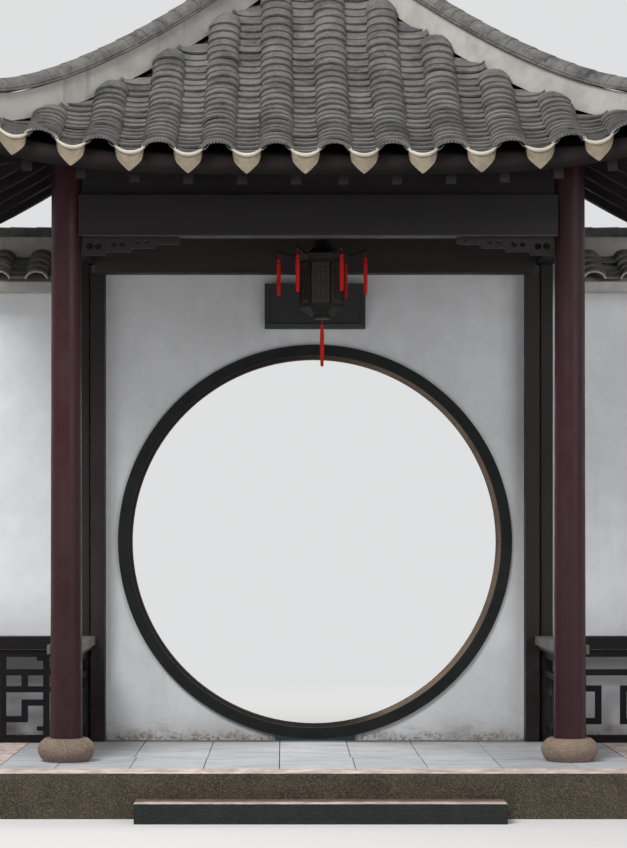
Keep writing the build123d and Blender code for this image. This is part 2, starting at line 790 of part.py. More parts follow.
def add_lantern():
    """Hook in the bar and the six-sided lantern that swings on it."""
    shank = Pos(lantern_x, lantern_y, bar_bottom - hook_shank / 2) * Cylinder(hook_wire, hook_shank)
    hook = Pos(lantern_x, lantern_y, hook_centre_z) * Rot(90, 0, 0) * Torus(hook_radius, hook_wire)
    export("lantern_hook", shank + hook)
    glass_low = floor_z + glass_bottom
    glass_high = glass_low + glass_height
    rim_low = glass_low - rim_height
    rim_high = glass_high + rim_height
    inside = body_radius - frame_bar * 1.3
    posts = [Pos(*at_corner(i, body_radius - frame_bar / 2), (glass_low + glass_high) / 2)
             * Rot(0, 0, 60 * i + lantern_turn)
             * Box(frame_bar, frame_bar, glass_height) for i in range(6)]
    rims = [hexagon_prism(body_radius, low, high) - hexagon_prism(inside, low, high)
            for low, high in ((rim_low, glass_low), (glass_high, rim_high))]
    export("lantern_frame", fused(rims + posts))
    pane_width = body_radius - 2 * frame_bar
    apothem = (body_radius - frame_bar * 0.6) * math.cos(math.radians(30))
    panes = []
    for i in range(6):
        angle = 30 + 60 * i + lantern_turn
        spin = math.radians(angle)
        place = Pos(lantern_x + apothem * math.cos(spin), lantern_y + apothem * math.sin(spin),
                    (glass_low + glass_high) / 2)
        panes.append(place * Rot(0, 0, angle) * Box(glass_thickness, pane_width, glass_height - 2 * fit))
    export("lantern_panes", Compound(panes))
    canopy_low = rim_high
    canopy_high = canopy_low + canopy_height
    canopy = hexagon_taper(body_radius, canopy_low, canopy_radius, canopy_low + canopy_height * 0.45)
    canopy = canopy + hexagon_taper(canopy_radius, canopy_low + canopy_height * 0.45,
                                    crown_radius * 1.5, canopy_high)
    crown_high = canopy_high + crown_height
    canopy = canopy + hexagon_taper(crown_radius, canopy_high, crown_radius * 0.7, crown_high)
    arm_low = canopy_low + canopy_height * 0.3
    canopy = fused([canopy] + [lantern_arm(i, arm_low) for i in range(6)])
    export("lantern_canopy", canopy)
    ring_centre = ring_top_z - ring_radius
    stem_top = ring_centre - ring_radius
    stem_place = Pos(lantern_x, lantern_y, (crown_high + stem_top) / 2)
    stem = stem_place * Cylinder(stem_radius, stem_top - crown_high)
    ring = Pos(lantern_x, lantern_y, ring_centre) * Rot(0, 90, 0) * Torus(ring_radius, ring_wire)
    export("lantern_ring", stem + ring)
    base_low = rim_low - base_height
    base = hexagon_taper(base_radius, base_low + base_height * 0.35, body_radius * 0.97, rim_low)
    base = base + hexagon_prism(base_radius * 0.72, base_low, base_low + base_height * 0.35)
    export("lantern_base", base)
    tassels = []
    tip_low = arm_low + arm_z(arm_reach - 8)
    for i in range(6):
        x, y = at_corner(i, arm_reach - 6)
        tassels.append(tassel(x, y, tip_low - fit, tassel_length))
    tassels.append(tassel(lantern_x, lantern_y, base_low - fit, bottom_tassel_length))
    export("lantern_tassels", Compound(tassels))


os.makedirs("parts", exist_ok=True)
add_platform()
add_walls()
add_ring()
add_timber_frame()
add_plaque()
add_benches()
add_roof()
add_coping()
add_lantern()
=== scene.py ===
"""A moon gate with its half pavilion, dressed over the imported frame.

Everything is in metres in the frame of the part: X along the wall, -Y to the front, Z up.
"""

import logging
import math
from dataclasses import dataclass, replace
from enum import Enum
from functools import partial, partialmethod
from typing import Callable, Dict, List, Optional, Sequence, Tuple, Union

import bpy
import numpy as np
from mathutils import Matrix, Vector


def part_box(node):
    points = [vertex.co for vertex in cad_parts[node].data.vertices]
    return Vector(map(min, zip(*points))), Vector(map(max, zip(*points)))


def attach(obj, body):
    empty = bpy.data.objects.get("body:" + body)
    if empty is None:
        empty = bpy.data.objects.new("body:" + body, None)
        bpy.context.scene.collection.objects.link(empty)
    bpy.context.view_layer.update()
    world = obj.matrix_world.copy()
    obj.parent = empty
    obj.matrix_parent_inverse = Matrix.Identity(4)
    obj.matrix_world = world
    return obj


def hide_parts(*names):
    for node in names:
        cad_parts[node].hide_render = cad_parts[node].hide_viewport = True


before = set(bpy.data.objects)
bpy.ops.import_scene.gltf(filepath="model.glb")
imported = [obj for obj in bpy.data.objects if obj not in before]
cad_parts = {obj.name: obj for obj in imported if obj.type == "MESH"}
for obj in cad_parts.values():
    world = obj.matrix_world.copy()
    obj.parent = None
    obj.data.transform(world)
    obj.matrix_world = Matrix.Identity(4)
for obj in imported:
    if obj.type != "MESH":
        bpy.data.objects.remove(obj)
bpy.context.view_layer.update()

log = logging.getLogger("moon_gate")

Array = np.ndarray
Colour = Tuple[float, float, float]
Place = Callable[[Array, Array, Array], Array]
Run = Tuple[float, float, float]
Band = Tuple[float, float, float, float]
Shade = Union[float, Array]
Node, Socket = bpy.types.Node, bpy.types.NodeSocket
Inputs = Dict[Union[str, int], object]

UP = np.array([0.0, 0.0, 1.0])
WELD = 0.0002


class Body(Enum):
    """The two bodies of the part."""

    GATE = "gate"
    LANTERN = "lantern"


class Grain(Enum):
    """Which way a timber's grain runs, as the squeeze of its pattern along X, Y and Z."""

    ALONG_X = (0.06, 1.0, 1.0)
    ALONG_Y = (1.0, 0.06, 1.0)
    UPRIGHT = (1.0, 1.0, 0.06)


class Slope(Enum):
    """The three slopes of the half pavilion's roof."""

    FRONT = "front"
    LEFT = "left"
    RIGHT = "right"


# Meshes


def new_object(name: str, data: bpy.types.ID) -> bpy.types.Object:
    """A new object in the scene that holds the data.

    Args:
        name: Name of the object.
        data: What it holds: a mesh, a lamp or a camera.

    Returns:
        The object.
    """
    made = bpy.data.objects.new(name, data)
    bpy.context.scene.collection.objects.link(made)
    return made


def node_points(name: str) -> Array:
    """The points of a CAD node's mesh, as (point, xyz).

    Args:
        name: Name of the node.

    Returns:
        Its points in the shared frame.
    """
    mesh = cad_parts[name].data
    points = np.empty(len(mesh.vertices) * 3)
    mesh.vertices.foreach_get("co", points)
    return points.reshape(-1, 3)


class Surface:
    """Grids of points gathered into one mesh."""

    def __init__(self) -> None:
        """Starts empty."""
        self.points: List[Array] = []
        self.quads: List[Array] = []
        self.tones: List[Array] = []
        self.count = 0

    def keep(self, points: Array, quads: Array, tones: Shade) -> None:
        """Stores parts of the mesh.

        Args:
            points: Points as (part, ..., xyz).
            quads: Faces by the numbers of these points.
            tones: One shade for each part, or one for all.
        """
        number = points.size // 3
        self.points.append(points.reshape(-1, 3))
        self.quads.append(quads + self.count)
        self.tones.append(np.repeat(np.broadcast_to(tones, len(points)), number // len(points)))
        self.count += number

    def add(self, grids: Array, tones: Shade = 0.5, around: bool = False,
            flip: bool = False) -> None:
        """Adds one or many grids of points.

        Args:
            grids: Points as (grid, row, column, xyz), or (row, column, xyz) for one grid.
            tones: One shade for each grid, or one for all.
            around: Joins the last column to the first.
            flip: Turns the faces over.
        """
        if grids.ndim == 3:
            grids = grids[None]
        index = np.arange(grids.size // 3).reshape(grids.shape[:3])
        if around:
            index = np.concatenate([index, index[:, :, :1]], axis=2)
        corners = [index[:, :-1, :-1], index[:, :-1, 1:], index[:, 1:, 1:], index[:, 1:, :-1]]
        quads = np.stack(corners, axis=-1).reshape(-1, 4)
        self.keep(grids, quads[:, ::-1] if flip else quads, tones)

    def add_blocks(self, low: Array, high: Array, tones: Shade = 0.5) -> None:
        """Adds closed upright blocks between pairs of corners.

        Args:
            low: Lowest corners as (block, xyz).
            high: Highest corners as (block, xyz).
            tones: One shade for each block, or one for all.
        """
        pick = np.array([[0, 0, 0], [1, 0, 0], [1, 1, 0], [0, 1, 0],
                         [0, 0, 1], [1, 0, 1], [1, 1, 1], [0, 1, 1]])
        faces = np.array([[0, 3, 2, 1], [4, 5, 6, 7], [0, 1, 5, 4],
                          [1, 2, 6, 5], [2, 3, 7, 6], [3, 0, 4, 7]])
        starts = np.arange(len(low))[:, None, None] * len(pick)
        self.keep(low[:, None] + (high - low)[:, None] * pick[None],
                  (faces[None] + starts).reshape(-1, 4), tones)

    def build(self, name: str, finish: "Finish", slot: str, body: Body = Body.GATE,
              smooth_angle: float = 40.0, bevel: float = 0.0, replaces: Sequence[str] = (),
              merge: float = 0.0) -> None:
        """Makes the gathered grids one piece that rides on a body.

        Args:
            name: Name of the piece.
            finish: Its material.
            slot: Not used.
            body: The body that carries it.
            smooth_angle: Edges sharper than this, in degrees, stay sharp.
            bevel: Width of the softened edges, or 0 for none.
            replaces: CAD nodes that it stands for.
            merge: Points nearer than this are joined, or 0 for none.
        """
        points = np.concatenate(self.points).astype(np.float32)
        quads = np.concatenate(self.quads).astype(np.int32)
        mesh = bpy.data.meshes.new(name)
        mesh.vertices.add(len(points))
        mesh.vertices.foreach_set("co", points.ravel())
        mesh.loops.add(quads.size)
        mesh.loops.foreach_set("vertex_index", quads.ravel())
        mesh.polygons.add(len(quads))
        mesh.polygons.foreach_set("loop_start", np.arange(0, quads.size, 4, dtype=np.int32))
        mesh.polygons.foreach_set("use_smooth", np.ones(len(quads), dtype=bool))
        mesh.update(calc_edges=True)
        tone = mesh.attributes.new("tone", "FLOAT", "POINT")
        tone.data.foreach_set("value", np.concatenate(self.tones).astype(np.float32))
        mesh.validate()
        mesh.materials.append(finish.material())
        piece = new_object(name, mesh)
        if merge:
            piece.modifiers.new("weld", "WELD").merge_threshold = merge
        if bevel:
            soften = piece.modifiers.new("soften", "BEVEL")
            soften.width = bevel
            soften.segments = 2
            soften.limit_method = "ANGLE"
            soften.angle_limit = math.radians(35)
        mesh.set_sharp_from_angle(angle=math.radians(smooth_angle))
        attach(piece, body.value)
        if replaces:
            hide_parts(*replaces)
        log.info("%s: %d faces", name, len(quads))


# Materials


class Graph:
    """A node tree with short calls for its nodes and links."""

    def __init__(self, tree: bpy.types.NodeTree) -> None:
        """Works on one tree."""
        self.tree = tree

    def feed(self, node: Node, inputs: Inputs) -> None:
        """Gives inputs of a node their values or links.

        Args:
            node: The node.
            inputs: Values, or nodes and their outputs, by input name or number. A colour goes
                without its alpha, and a node stands for its first output.
        """
        for key, value in inputs.items():
            socket = node.inputs[key]
            if isinstance(value, (Value, Node)):
                source = value.outputs[0] if isinstance(value, Node) else value.socket
                self.tree.links.new(source, socket)
            else:
                socket.default_value = (*value, 1.0) if socket.type == "RGBA" else value

    def add(self, kind: str, inputs: Optional[Inputs] = None, **settings: object) -> Node:
        """Adds a node.

        Args:
            kind: The node's type; a shader node goes without the words ShaderNode.
            inputs: What feed takes.
            **settings: The node's own settings.

        Returns:
            The node.
        """
        node = self.tree.nodes.new(kind if kind.startswith("NodeGroup") else "ShaderNode" + kind)
        for key, value in settings.items():
            setattr(node, key, value)
        self.feed(node, inputs or {})
        return node

    def value(self, kind: str, inputs: Optional[Inputs] = None, output: Union[str, int] = 0,
              **settings: object) -> "Value":
        """Adds a node and gives one of its outputs."""
        return Value(self, self.add(kind, inputs, **settings).outputs[output])

    def mix(self, share: object, first: object, second: object, blend: str = "MIX") -> "Value":
        """A blend of two colours."""
        return self.value("Mix", {0: share, 6: first, 7: second}, 2, data_type="RGBA",
                          blend_type=blend, clamp_factor=True)

    def tone(self) -> "Value":
        """The shade that a mesh gives each of its parts."""
        return self.value("Attribute", output="Fac", attribute_name="tone")

    def seen(self) -> "Value":
        """1 for rays from the camera, off gloss and through glass, 0 for those that carry light.

        Returns:
            The value, between 0 and 1.
        """
        path = self.add("LightPath").outputs
        camera, gloss, glass = (Value(self, path["Is %s Ray" % name])
                                for name in ("Camera", "Glossy", "Transmission"))
        return (camera + (gloss + glass)).clamped()


class Value:
    """A node's output, which adds and multiplies like a number."""

    def __init__(self, graph: Graph, socket: Socket) -> None:
        """Holds an output of one graph's node."""
        self.graph, self.socket = graph, socket

    def math(self, operation: str, other: object) -> "Value":
        """One sum of this value and another."""
        return self.graph.value("Math", {0: self, 1: other}, operation=operation)

    __add__ = partialmethod(math, "ADD")
    __sub__ = partialmethod(math, "SUBTRACT")
    __mul__ = partialmethod(math, "MULTIPLY")
    __truediv__ = partialmethod(math, "DIVIDE")

    def __rsub__(self, other: float) -> "Value":
        """A number less the value."""
        return self.graph.value("Math", {0: other, 1: self}, operation="SUBTRACT")

    def clamped(self) -> "Value":
        """The same value; the sum that makes it is kept between 0 and 1."""
        self.socket.node.use_clamp = True
        return self

    def ramp(self, low: float, high: float, first: float = 0.0, last: float = 1.0) -> "Value":
        """The value stretched smoothly from low and high to first and last, kept between them.

        Args:
            low: Where the stretch starts.
            high: Where it ends.
            first: The result up to low.
            last: The result from high on.

        Returns:
            The stretched value.
        """
        return self.graph.value("MapRange", {"Value": self, "From Min": low, "From Max": high,
                                             "To Min": first, "To Max": last},
                                interpolation_type="SMOOTHSTEP")

    def mix(self, first: object, second: object) -> "Value":
        """The first colour where the value is 0, the second where it is 1."""
        return self.graph.mix(self, first, second)

    def axis(self, number: int) -> "Value":
        """One of the coordinates: 0 for X, 1 for Y, 2 for Z."""
        return self.graph.value("SeparateXYZ", {0: self}, number)

    def scaled(self, scale: object) -> "Value":
        """The coordinates multiplied along each axis."""
        return self.graph.value("VectorMath", {0: self, 1: scale}, operation="MULTIPLY")

    def noise(self, scale: object, detail: float, roughness: float,
              distortion: float = 0.0) -> "Value":
        """Cloudy noise from 0 to 1 at the coordinates."""
        return self.graph.value("TexNoise", {"Vector": self, "Scale": scale, "Detail": detail,
                                             "Roughness": roughness, "Distortion": distortion})

    def cells(self, scale: object) -> "Value":
        """The distance to the nearest of scattered points, from 0 at each point."""
        return self.graph.value("TexVoronoi", {"Vector": self, "Scale": scale})


SOCKET_KINDS = {**dict.fromkeys(("vector", "squeeze"), "NodeSocketVector"),
                **dict.fromkeys(("colour", "other", "stain", "moss", "fleck"), "NodeSocketColor")}


@dataclass(frozen=True)
class Effect:
    """A shader node group with named sockets: a function of its inputs that gives its outputs."""

    fill: Callable[..., Tuple[Value, ...]]
    inputs: Tuple[str, ...]
    outputs: Tuple[str, ...]

    def tree(self) -> bpy.types.NodeTree:
        """The group, built once, with the function's name and its arguments as inputs.

        Returns:
            The group's tree.
        """
        name = self.fill.__name__
        if name in bpy.data.node_groups:
            return bpy.data.node_groups[name]
        group = bpy.data.node_groups.new(name, "ShaderNodeTree")
        for side, keys in (("INPUT", self.inputs), ("OUTPUT", self.outputs)):
            for key in keys:
                group.interface.new_socket(name=key, in_out=side,
                                           socket_type=SOCKET_KINDS.get(key, "NodeSocketFloat"))
        graph = Graph(group)
        source = graph.add("NodeGroupInput").outputs
        results = self.fill(**{key: Value(graph, source[key]) for key in self.inputs})
        graph.add("NodeGroupOutput", dict(zip(self.outputs, results)))
        return group


def mottle(vector: Value, scale: Value, amount: Value, colour: Value,
           other: Value) -> Tuple[Value, ...]:
    """Soft clouds of a second colour: broad and fine noise, stretched and multiplied by amount.

    Args:
        vector: The coordinates.
        scale: Of the broad clouds.
        amount: Strength of the clouds.
        colour: The first colour.
        other: The clouds' colour.

    Returns:
        The mixed colour, and the clouds as a mask.
    """
    broad, fine = vector.noise(scale, 6.0, 0.65), vector.noise(scale * 7.3, 4.0, 0.6)
    mask = (broad * 0.7 + fine * 0.3).ramp(0.36, 0.64)
    return (mask * amount).clamped().mix(colour, other), mask


def rising_damp(vector: Value, scale: Value, level: Value, reach: Value, amount: Value,
                growth: Value, colour: Value, stain: Value, moss: Value) -> Tuple[Value, ...]:
    """Stains that rise from a level: full there, gone by level + reach, with a ragged edge.

    Args:
        vector: The coordinates.
        scale: Of the ragged edge.
        level: Height where the stains start.
        reach: How far they rise.
        amount: Strength of the stains.
        growth: Strength of the moss in the lowest part.
        colour: The clean colour.
        stain: The stains' colour.
        moss: The moss's colour.

    Returns:
        The stained colour.
    """
    shift = (vector.scaled((1.0, 1.0, 0.45)).noise(scale, 7.0, 0.7) - 0.5) * 2.6
    rise = (vector.axis(2) - level) / reach
    wet = (rise + shift).ramp(0.05, 1.0, 1.0, 0.0)
    stained = (wet * amount).clamped().mix(colour, stain)
    low = (rise + shift * 0.4).ramp(0.0, 0.3, 1.0, 0.0)
    patch = vector.noise(9.0, 6.0, 0.7).ramp(0.46, 0.62)
    return ((low * patch * growth).clamped().mix(stained, moss),)


def wood_grain(vector: Value, squeeze: Value) -> Tuple[Value, ...]:
    """Wood grain: noise squeezed along one axis, as broad bands with fine lines in them.

    Args:
        vector: The coordinates.
        squeeze: Scale along each axis, small along the grain.

    Returns:
        The bands as a mask, and the height of the relief.
    """
    squeezed = vector.scaled(squeeze)
    bands, lines = squeezed.noise(9.0, 3.0, 0.5, 0.4), squeezed.noise(70.0, 4.0, 0.7)
    return bands.ramp(0.35, 0.65), bands * 0.4 + lines * 0.6


def pitted_stone(vector: Value, scale: Value) -> Tuple[Value, ...]:
    """Stone skin: broad dressing marks, fine grit and scattered pits, as one height.

    Args:
        vector: The coordinates.
        scale: Of the dressing marks.

    Returns:
        The height of the relief.
    """
    fine = scale * 12.0
    marks, grit = vector.noise(scale, 8.0, 0.7), vector.noise(fine, 3.0, 0.6)
    pits = vector.cells(fine).ramp(0.0, 0.35)
    return (marks * 0.6 + grit * 0.25 + pits * 0.2,)


def broken_grains(vector: Value, scale: Value, amount: Value, colour: Value,
                  fleck: Value) -> Tuple[Value, ...]:
    """Rough broken stone: flecks of a second colour between coarse grains, with their relief."""
    height = vector.cells(scale) * 0.35 + vector.noise(scale, 8.0, 0.75) * 0.9
    return (height.ramp(0.52, 0.86) * amount).clamped().mix(colour, fleck), height


MOTTLE = Effect(mottle, ("vector", "scale", "amount", "colour", "other"), ("colour", "mask"))
DAMP = Effect(rising_damp, ("vector", "scale", "level", "reach", "amount", "growth", "colour",
                            "stain", "moss"), ("colour",))
WOOD = Effect(wood_grain, ("vector", "squeeze"), ("mask", "height"))
PITTED = Effect(pitted_stone, ("vector", "scale"), ("height",))
GRAINS = Effect(broken_grains, ("vector", "scale", "amount", "colour", "fleck"),
                ("colour", "height"))


class Skin(Graph):
    """The tree of a new material: a Principled shader and the Object coordinates."""

    def __init__(self, name: str) -> None:
        """Makes the material with its plain shader.

        Args:
            name: Name of the material.
        """
        made = bpy.data.materials.new(name)
        made.use_nodes = True
        made.node_tree.nodes.clear()
        super().__init__(made.node_tree)
        self.shader = self.add("BsdfPrincipled")
        self.output = self.add("OutputMaterial", {"Surface": self.shader})
        self.vector = self.value("TexCoord", output="Object")

    def set(self, inputs: Inputs) -> None:
        """Sets or links the shader's own inputs."""
        self.feed(self.shader, inputs)

    def place(self, effect: Effect, **inputs: object) -> Tuple[Value, ...]:
        """Places an effect on the Object coordinates with its own values; gives its outputs."""
        node = self.add("Group", {"vector": self.vector, **inputs}, node_tree=effect.tree())
        return tuple(Value(self, output) for output in node.outputs)

    def bump(self, height: Value, strength: float, distance: float) -> None:
        """Feeds a height into the shader's normal."""
        self.set({"Normal": self.add("Bump", {"Strength": strength, "Distance": distance,
                                              "Height": height})})


@dataclass(frozen=True)
class Finish:
    """A finish with one base colour; other finishes add to it."""

    name: str
    colour: Colour
    roughness: float

    def material(self) -> bpy.types.Material:
        """The finish's material, made once; its name never meets one of the frame's own.

        Returns:
            The material.
        """
        name = self.name + "_finish"
        if name not in bpy.data.materials:
            skin = Skin(name)
            skin.set({"Base Color": self.colour, "Roughness": self.roughness})
            self.fill(skin)
        return bpy.data.materials[name]

    def fill(self, skin: Skin) -> None:
        """Adds the finish's own pattern to the plain shader."""


@dataclass(frozen=True)
class Plaster(Finish):
    """Lime plaster with cloudy weathering and stains that rise from its foot."""

    cloud: Colour
    stain: Colour = (0.20, 0.19, 0.165)
    moss: Colour = (0.055, 0.07, 0.035)
    rust: Colour = (0.165, 0.118, 0.078)
    level: float = 0.20
    reach: float = 0.20
    streaks: float = 0.16
    damp: float = 0.36
    band: float = 0.9
    marks: float = 0.75

    def fill(self, skin: Skin) -> None:
        """Clouds, faint runs from above, the damp foot and its band of dirt, over trowel marks.

        Args:
            skin: The material that takes it.
        """
        vector, height = skin.vector, skin.vector.axis(2)
        colour, _ = skin.place(MOTTLE, scale=1.3, amount=0.55, colour=self.colour,
                               other=self.cloud)
        runs = vector.scaled((1.0, 1.0, 0.07)).noise(11.0, 4.0, 0.6).ramp(0.55, 0.78)
        colour = (runs * self.streaks).mix(colour, self.stain)
        colour, = skin.place(DAMP, scale=2.6, level=self.level, reach=self.reach,
                             amount=self.damp, growth=self.damp, colour=colour,
                             stain=self.stain, moss=self.moss)
        low = height.ramp(self.level, self.level + 0.26, 1.0, 0.0)
        blots = vector.scaled((1.0, 1.0, 2.6)).noise(5.0, 6.0, 0.7).ramp(0.52, 0.66)
        colour = (low * blots * self.damp).mix(colour, self.rust)
        ragged = vector.scaled((1.0, 1.0, 0.6)).noise(11.0, 7.0, 0.85) * 0.16
        foot = (height - (self.level - 0.055) - ragged).ramp(0.0, 0.045, 1.0, 0.0)
        specks = vector.noise(48.0, 6.0, 0.8).ramp(0.46, 0.60, 0.12, 1.0)
        colour = (foot * specks * self.band).mix(colour, self.rust)
        where = vector.noise(2.2, 2.0, 0.5).ramp(0.56, 0.68)
        scratch = vector.scaled((1.0, 1.0, 0.45)).noise(55.0, 6.0, 0.8, 0.6).ramp(0.60, 0.68)
        fade = height.ramp(self.level + 0.2, self.level + 1.2, self.marks, 0.0)
        skin.set({"Base Color": (scratch * where * fade).mix(colour, self.stain)})
        trowel, sand = vector.noise(5.0, 8.0, 0.6), vector.noise(160.0, 2.0, 0.5)
        skin.bump(trowel * 0.8 + sand * 0.08, 0.5, 0.012)


@dataclass(frozen=True)
class Stone(Finish):
    """Dressed stone with a second colour in clouds, dirt and pits; some stones add painted shade
    and painted highlights.
    """

    other: Colour
    amount: float = 0.7
    scale: float = 3.0
    moss: Colour = (0.05, 0.065, 0.03)
    moss_amount: float = 0.0
    reach: float = 0.2
    rough: float = 0.4
    tone_share: float = 0.0
    specular: float = 0.3
    # Paler colour of the faces that look up: partly wear, partly painted light from above.
    worn_and_lit: Optional[Colour] = None
    fleck: Optional[Colour] = None
    streak: float = 0.0
    # Painted shade: colour of a dark strip along the foot of the wall, and the depth where it
    # starts.
    wall_foot_shade: Optional[Colour] = None
    wall_foot_shade_start: float = -0.30
    # Painted highlight, partly wear, along the front and rear edges of the tops.
    lip: Optional[Colour] = None
    lip_places: Tuple[float, float] = (-2.06, 0.42)

    def fill(self, skin: Skin) -> None:
        """Clouds and damp over a pitted skin; the tone attribute shifts each block a little.

        Args:
            skin: The material that takes it.
        """
        vector = skin.vector
        colour, _ = skin.place(MOTTLE, scale=self.scale, amount=self.amount, colour=self.colour,
                               other=self.other)
        if self.tone_share:
            shade = skin.tone().ramp(0.0, 1.0, 1.0 - self.tone_share, 1.0 + self.tone_share)
            colour = skin.mix(1.0, colour, shade, "MULTIPLY")
        if self.moss_amount:
            colour, = skin.place(DAMP, scale=5.0, level=0.0, reach=self.reach, amount=0.45,
                                 growth=self.moss_amount, colour=colour, stain=self.other,
                                 moss=self.moss)
        if self.streak:
            lines = vector.scaled((0.10, 1.0, 1.0)).noise(24.0, 6.0, 0.8).ramp(0.47, 0.60)
            colour = (lines * self.streak).mix(colour, self.other)
        # Painted shade: the paving darkens into a strip along the foot of the wall.
        if self.wall_foot_shade:
            damp = vector.axis(1).ramp(self.wall_foot_shade_start, self.wall_foot_shade_start + 0.07, 0.0, 0.85)
            colour = damp.mix(colour, self.wall_foot_shade)
        if self.fleck:
            colour, relief = skin.place(GRAINS, scale=115.0, amount=0.6, colour=colour,
                                        fleck=self.fleck)
            if self.worn_and_lit:
                colour, relief = self.wear_and_light_tops(skin, colour, relief)
            skin.bump(relief, self.rough, 0.02)
        else:
            skin.bump(*skin.place(PITTED, scale=self.scale * 4), self.rough, 0.01)
        skin.set({"Base Color": self.shaded_and_grimed(vector, colour), "Specular IOR Level": self.specular})

    def wear_and_light_tops(self, skin: Skin, colour: Value, relief: Value) -> Tuple[Value, Value]:
        """Pales the faces that look up, in patches, as wear and as painted light from above, and
        adds a painted highlight, partly wear, along the stone's long edges.

        Args:
            skin: The material.
            colour: The stone's colour.
            relief: The stone's relief.

        Returns:
            The colour, and the relief, which is flatter where the tops are paled.
        """
        facing = skin.value("NewGeometry", output="Normal").axis(2)
        # Painted light: the faces that look up turn paler in patches, partly for wear and partly
        # for the light that falls on them from above.
        patches = skin.vector.noise(9.0, 7.0, 0.75).ramp(0.36, 0.60, 0.58, 1.0)
        share = facing.ramp(0.35, 0.8) * patches
        colour = share.mix(colour, self.worn_and_lit)
        # Painted highlight, partly wear: a pale lip along the long edges of those tops.
        if self.lip:
            depth, (front, rear) = skin.vector.axis(1), self.lip_places
            edge = (depth.ramp(front - 0.05, front + 0.05, 1.0, 0.0)
                    + depth.ramp(rear - 0.05, rear + 0.05)).clamped()
            colour = (edge * share).mix(colour, self.lip)
        return colour, relief * (1.0 - share)

    def shaded_and_grimed(self, vector: Value, colour: Value) -> Value:
        """The colour with the painted shade and dirt of the stone's own place; plain stone has
        none.
        """
        return colour


@dataclass(frozen=True)
class Reveal(Stone):
    """The lining's stone, with painted shade on its left that lessens towards its rear edge, and
    dirt underfoot.
    """

    # Colour of the painted shade on the lining's left, also used for the dirt underfoot.
    shade_and_grime: Colour = (0.032, 0.026, 0.022)

    def shaded_and_grimed(self, vector: Value, colour: Value) -> Value:
        """Painted shade falls off from left to right and towards the rear edge, and dirt covers the
        lowest part.

        Args:
            vector: The coordinates.
            colour: The clean stone's colour.

        Returns:
            The colour with its painted shade and dirt.
        """
        # Painted shade: dark on the lining's left, fading to the right and lighter towards its rear
        # edge.
        side = vector.axis(0).ramp(-0.25, 0.85, 1.0, 0.0)
        rear = vector.axis(1).ramp(0.085, 0.125, 1.0, 0.3)
        # Dirt underfoot darkens the lowest part.
        low = vector.axis(2).ramp(0.27, 0.42, 1.0, 0.0)
        return (side * rear).math("MAXIMUM", low).mix(colour, self.shade_and_grime)


@dataclass(frozen=True)
class Tile(Finish):
    """Weathered clay tile: each tile has its own shade, with pale bloom and dark soot."""

    bloom: Colour
    soot: Colour = (0.025, 0.026, 0.028)

    def fill(self, skin: Skin) -> None:
        """Shade by tile, then bloom in patches and fine grit.

        Args:
            skin: The material that takes it.
        """
        shade = skin.tone().ramp(0.1, 0.9).mix(self.soot, self.colour)
        colour, _ = skin.place(MOTTLE, scale=6.0, amount=0.75, colour=shade, other=self.bloom)
        specks = skin.vector.noise(42.0, 4.0, 0.7).ramp(0.56, 0.7)
        skin.set({"Base Color": (specks * 0.45).mix(colour, self.bloom)})
        skin.bump(*skin.place(PITTED, scale=26.0), 0.35, 0.004)


@dataclass(frozen=True)
class Timber(Finish):
    """Lacquered or bare timber with grain along one axis, dust, and a paler line in patches."""

    band: Colour
    grain: Grain = Grain.UPRIGHT
    coat: float = 0.0
    specular: float = 0.25
    dust: Colour = (0.06, 0.055, 0.05)
    dust_amount: float = 0.10
    line: Optional[Colour] = None
    line_levels: Tuple[float, float] = (0.0, 0.0)

    def fill(self, skin: Skin) -> None:
        """Two tones in the grain, dust in clouds, a paler line between two levels, and relief.

        Args:
            skin: The material that takes it.
        """
        grain, relief = skin.place(WOOD, squeeze=self.grain.value)
        colour, dusty = skin.place(MOTTLE, scale=3.5, amount=self.dust_amount,
                                   colour=grain.mix(self.colour, self.band), other=self.dust)
        if self.line:
            level, blur, (low, high) = skin.vector.axis(2), 0.001, self.line_levels
            between = level.ramp(low - blur, low + blur) * level.ramp(high - blur, high + blur,
                                                                      1.0, 0.0)
            # The paler line shows in patches; along the side seats' top board it stands partly for
            # wear and partly for a painted reflection.
            worn_and_lit = skin.vector.noise(16.0, 5.0, 0.7).ramp(0.3, 0.5, 0.35, 1.0)
            colour = (between * worn_and_lit).mix(colour, self.line)
        rough = dusty.ramp(0.0, 1.0, self.roughness - 0.08, self.roughness + 0.12)
        skin.set({"Base Color": colour, "Roughness": rough, "Specular IOR Level": self.specular,
                  "Coat Weight": self.coat, "Coat Roughness": 0.35})
        skin.bump(relief, 0.2, 0.003)


@dataclass(frozen=True)
class Pane(Finish):
    """Dusty greenish lantern glass."""

    dirt: Colour

    def fill(self, skin: Skin) -> None:
        """Thin dirt over the glass.

        Args:
            skin: The material that takes it.
        """
        colour, _ = skin.place(MOTTLE, scale=14.0, amount=0.5, colour=self.colour,
                               other=self.dirt)
        skin.set({"Base Color": colour, "Transmission Weight": 0.35, "Specular IOR Level": 0.2,
                  "IOR": 1.45})


@dataclass(frozen=True)
class Thread(Finish):
    """Silk thread in fine upright strands."""

    shadow: Colour

    def fill(self, skin: Skin) -> None:
        """Strands of two reds with a soft sheen.

        Args:
            skin: The material that takes it.
        """
        strands = skin.vector.scaled((1.0, 1.0, 0.03)).noise(900.0, 2.0, 0.6)
        skin.set({"Base Color": strands.ramp(0.35, 0.6).mix(self.shadow, self.colour),
                  "Specular IOR Level": 0.2})
        skin.bump(strands, 0.5, 0.001)


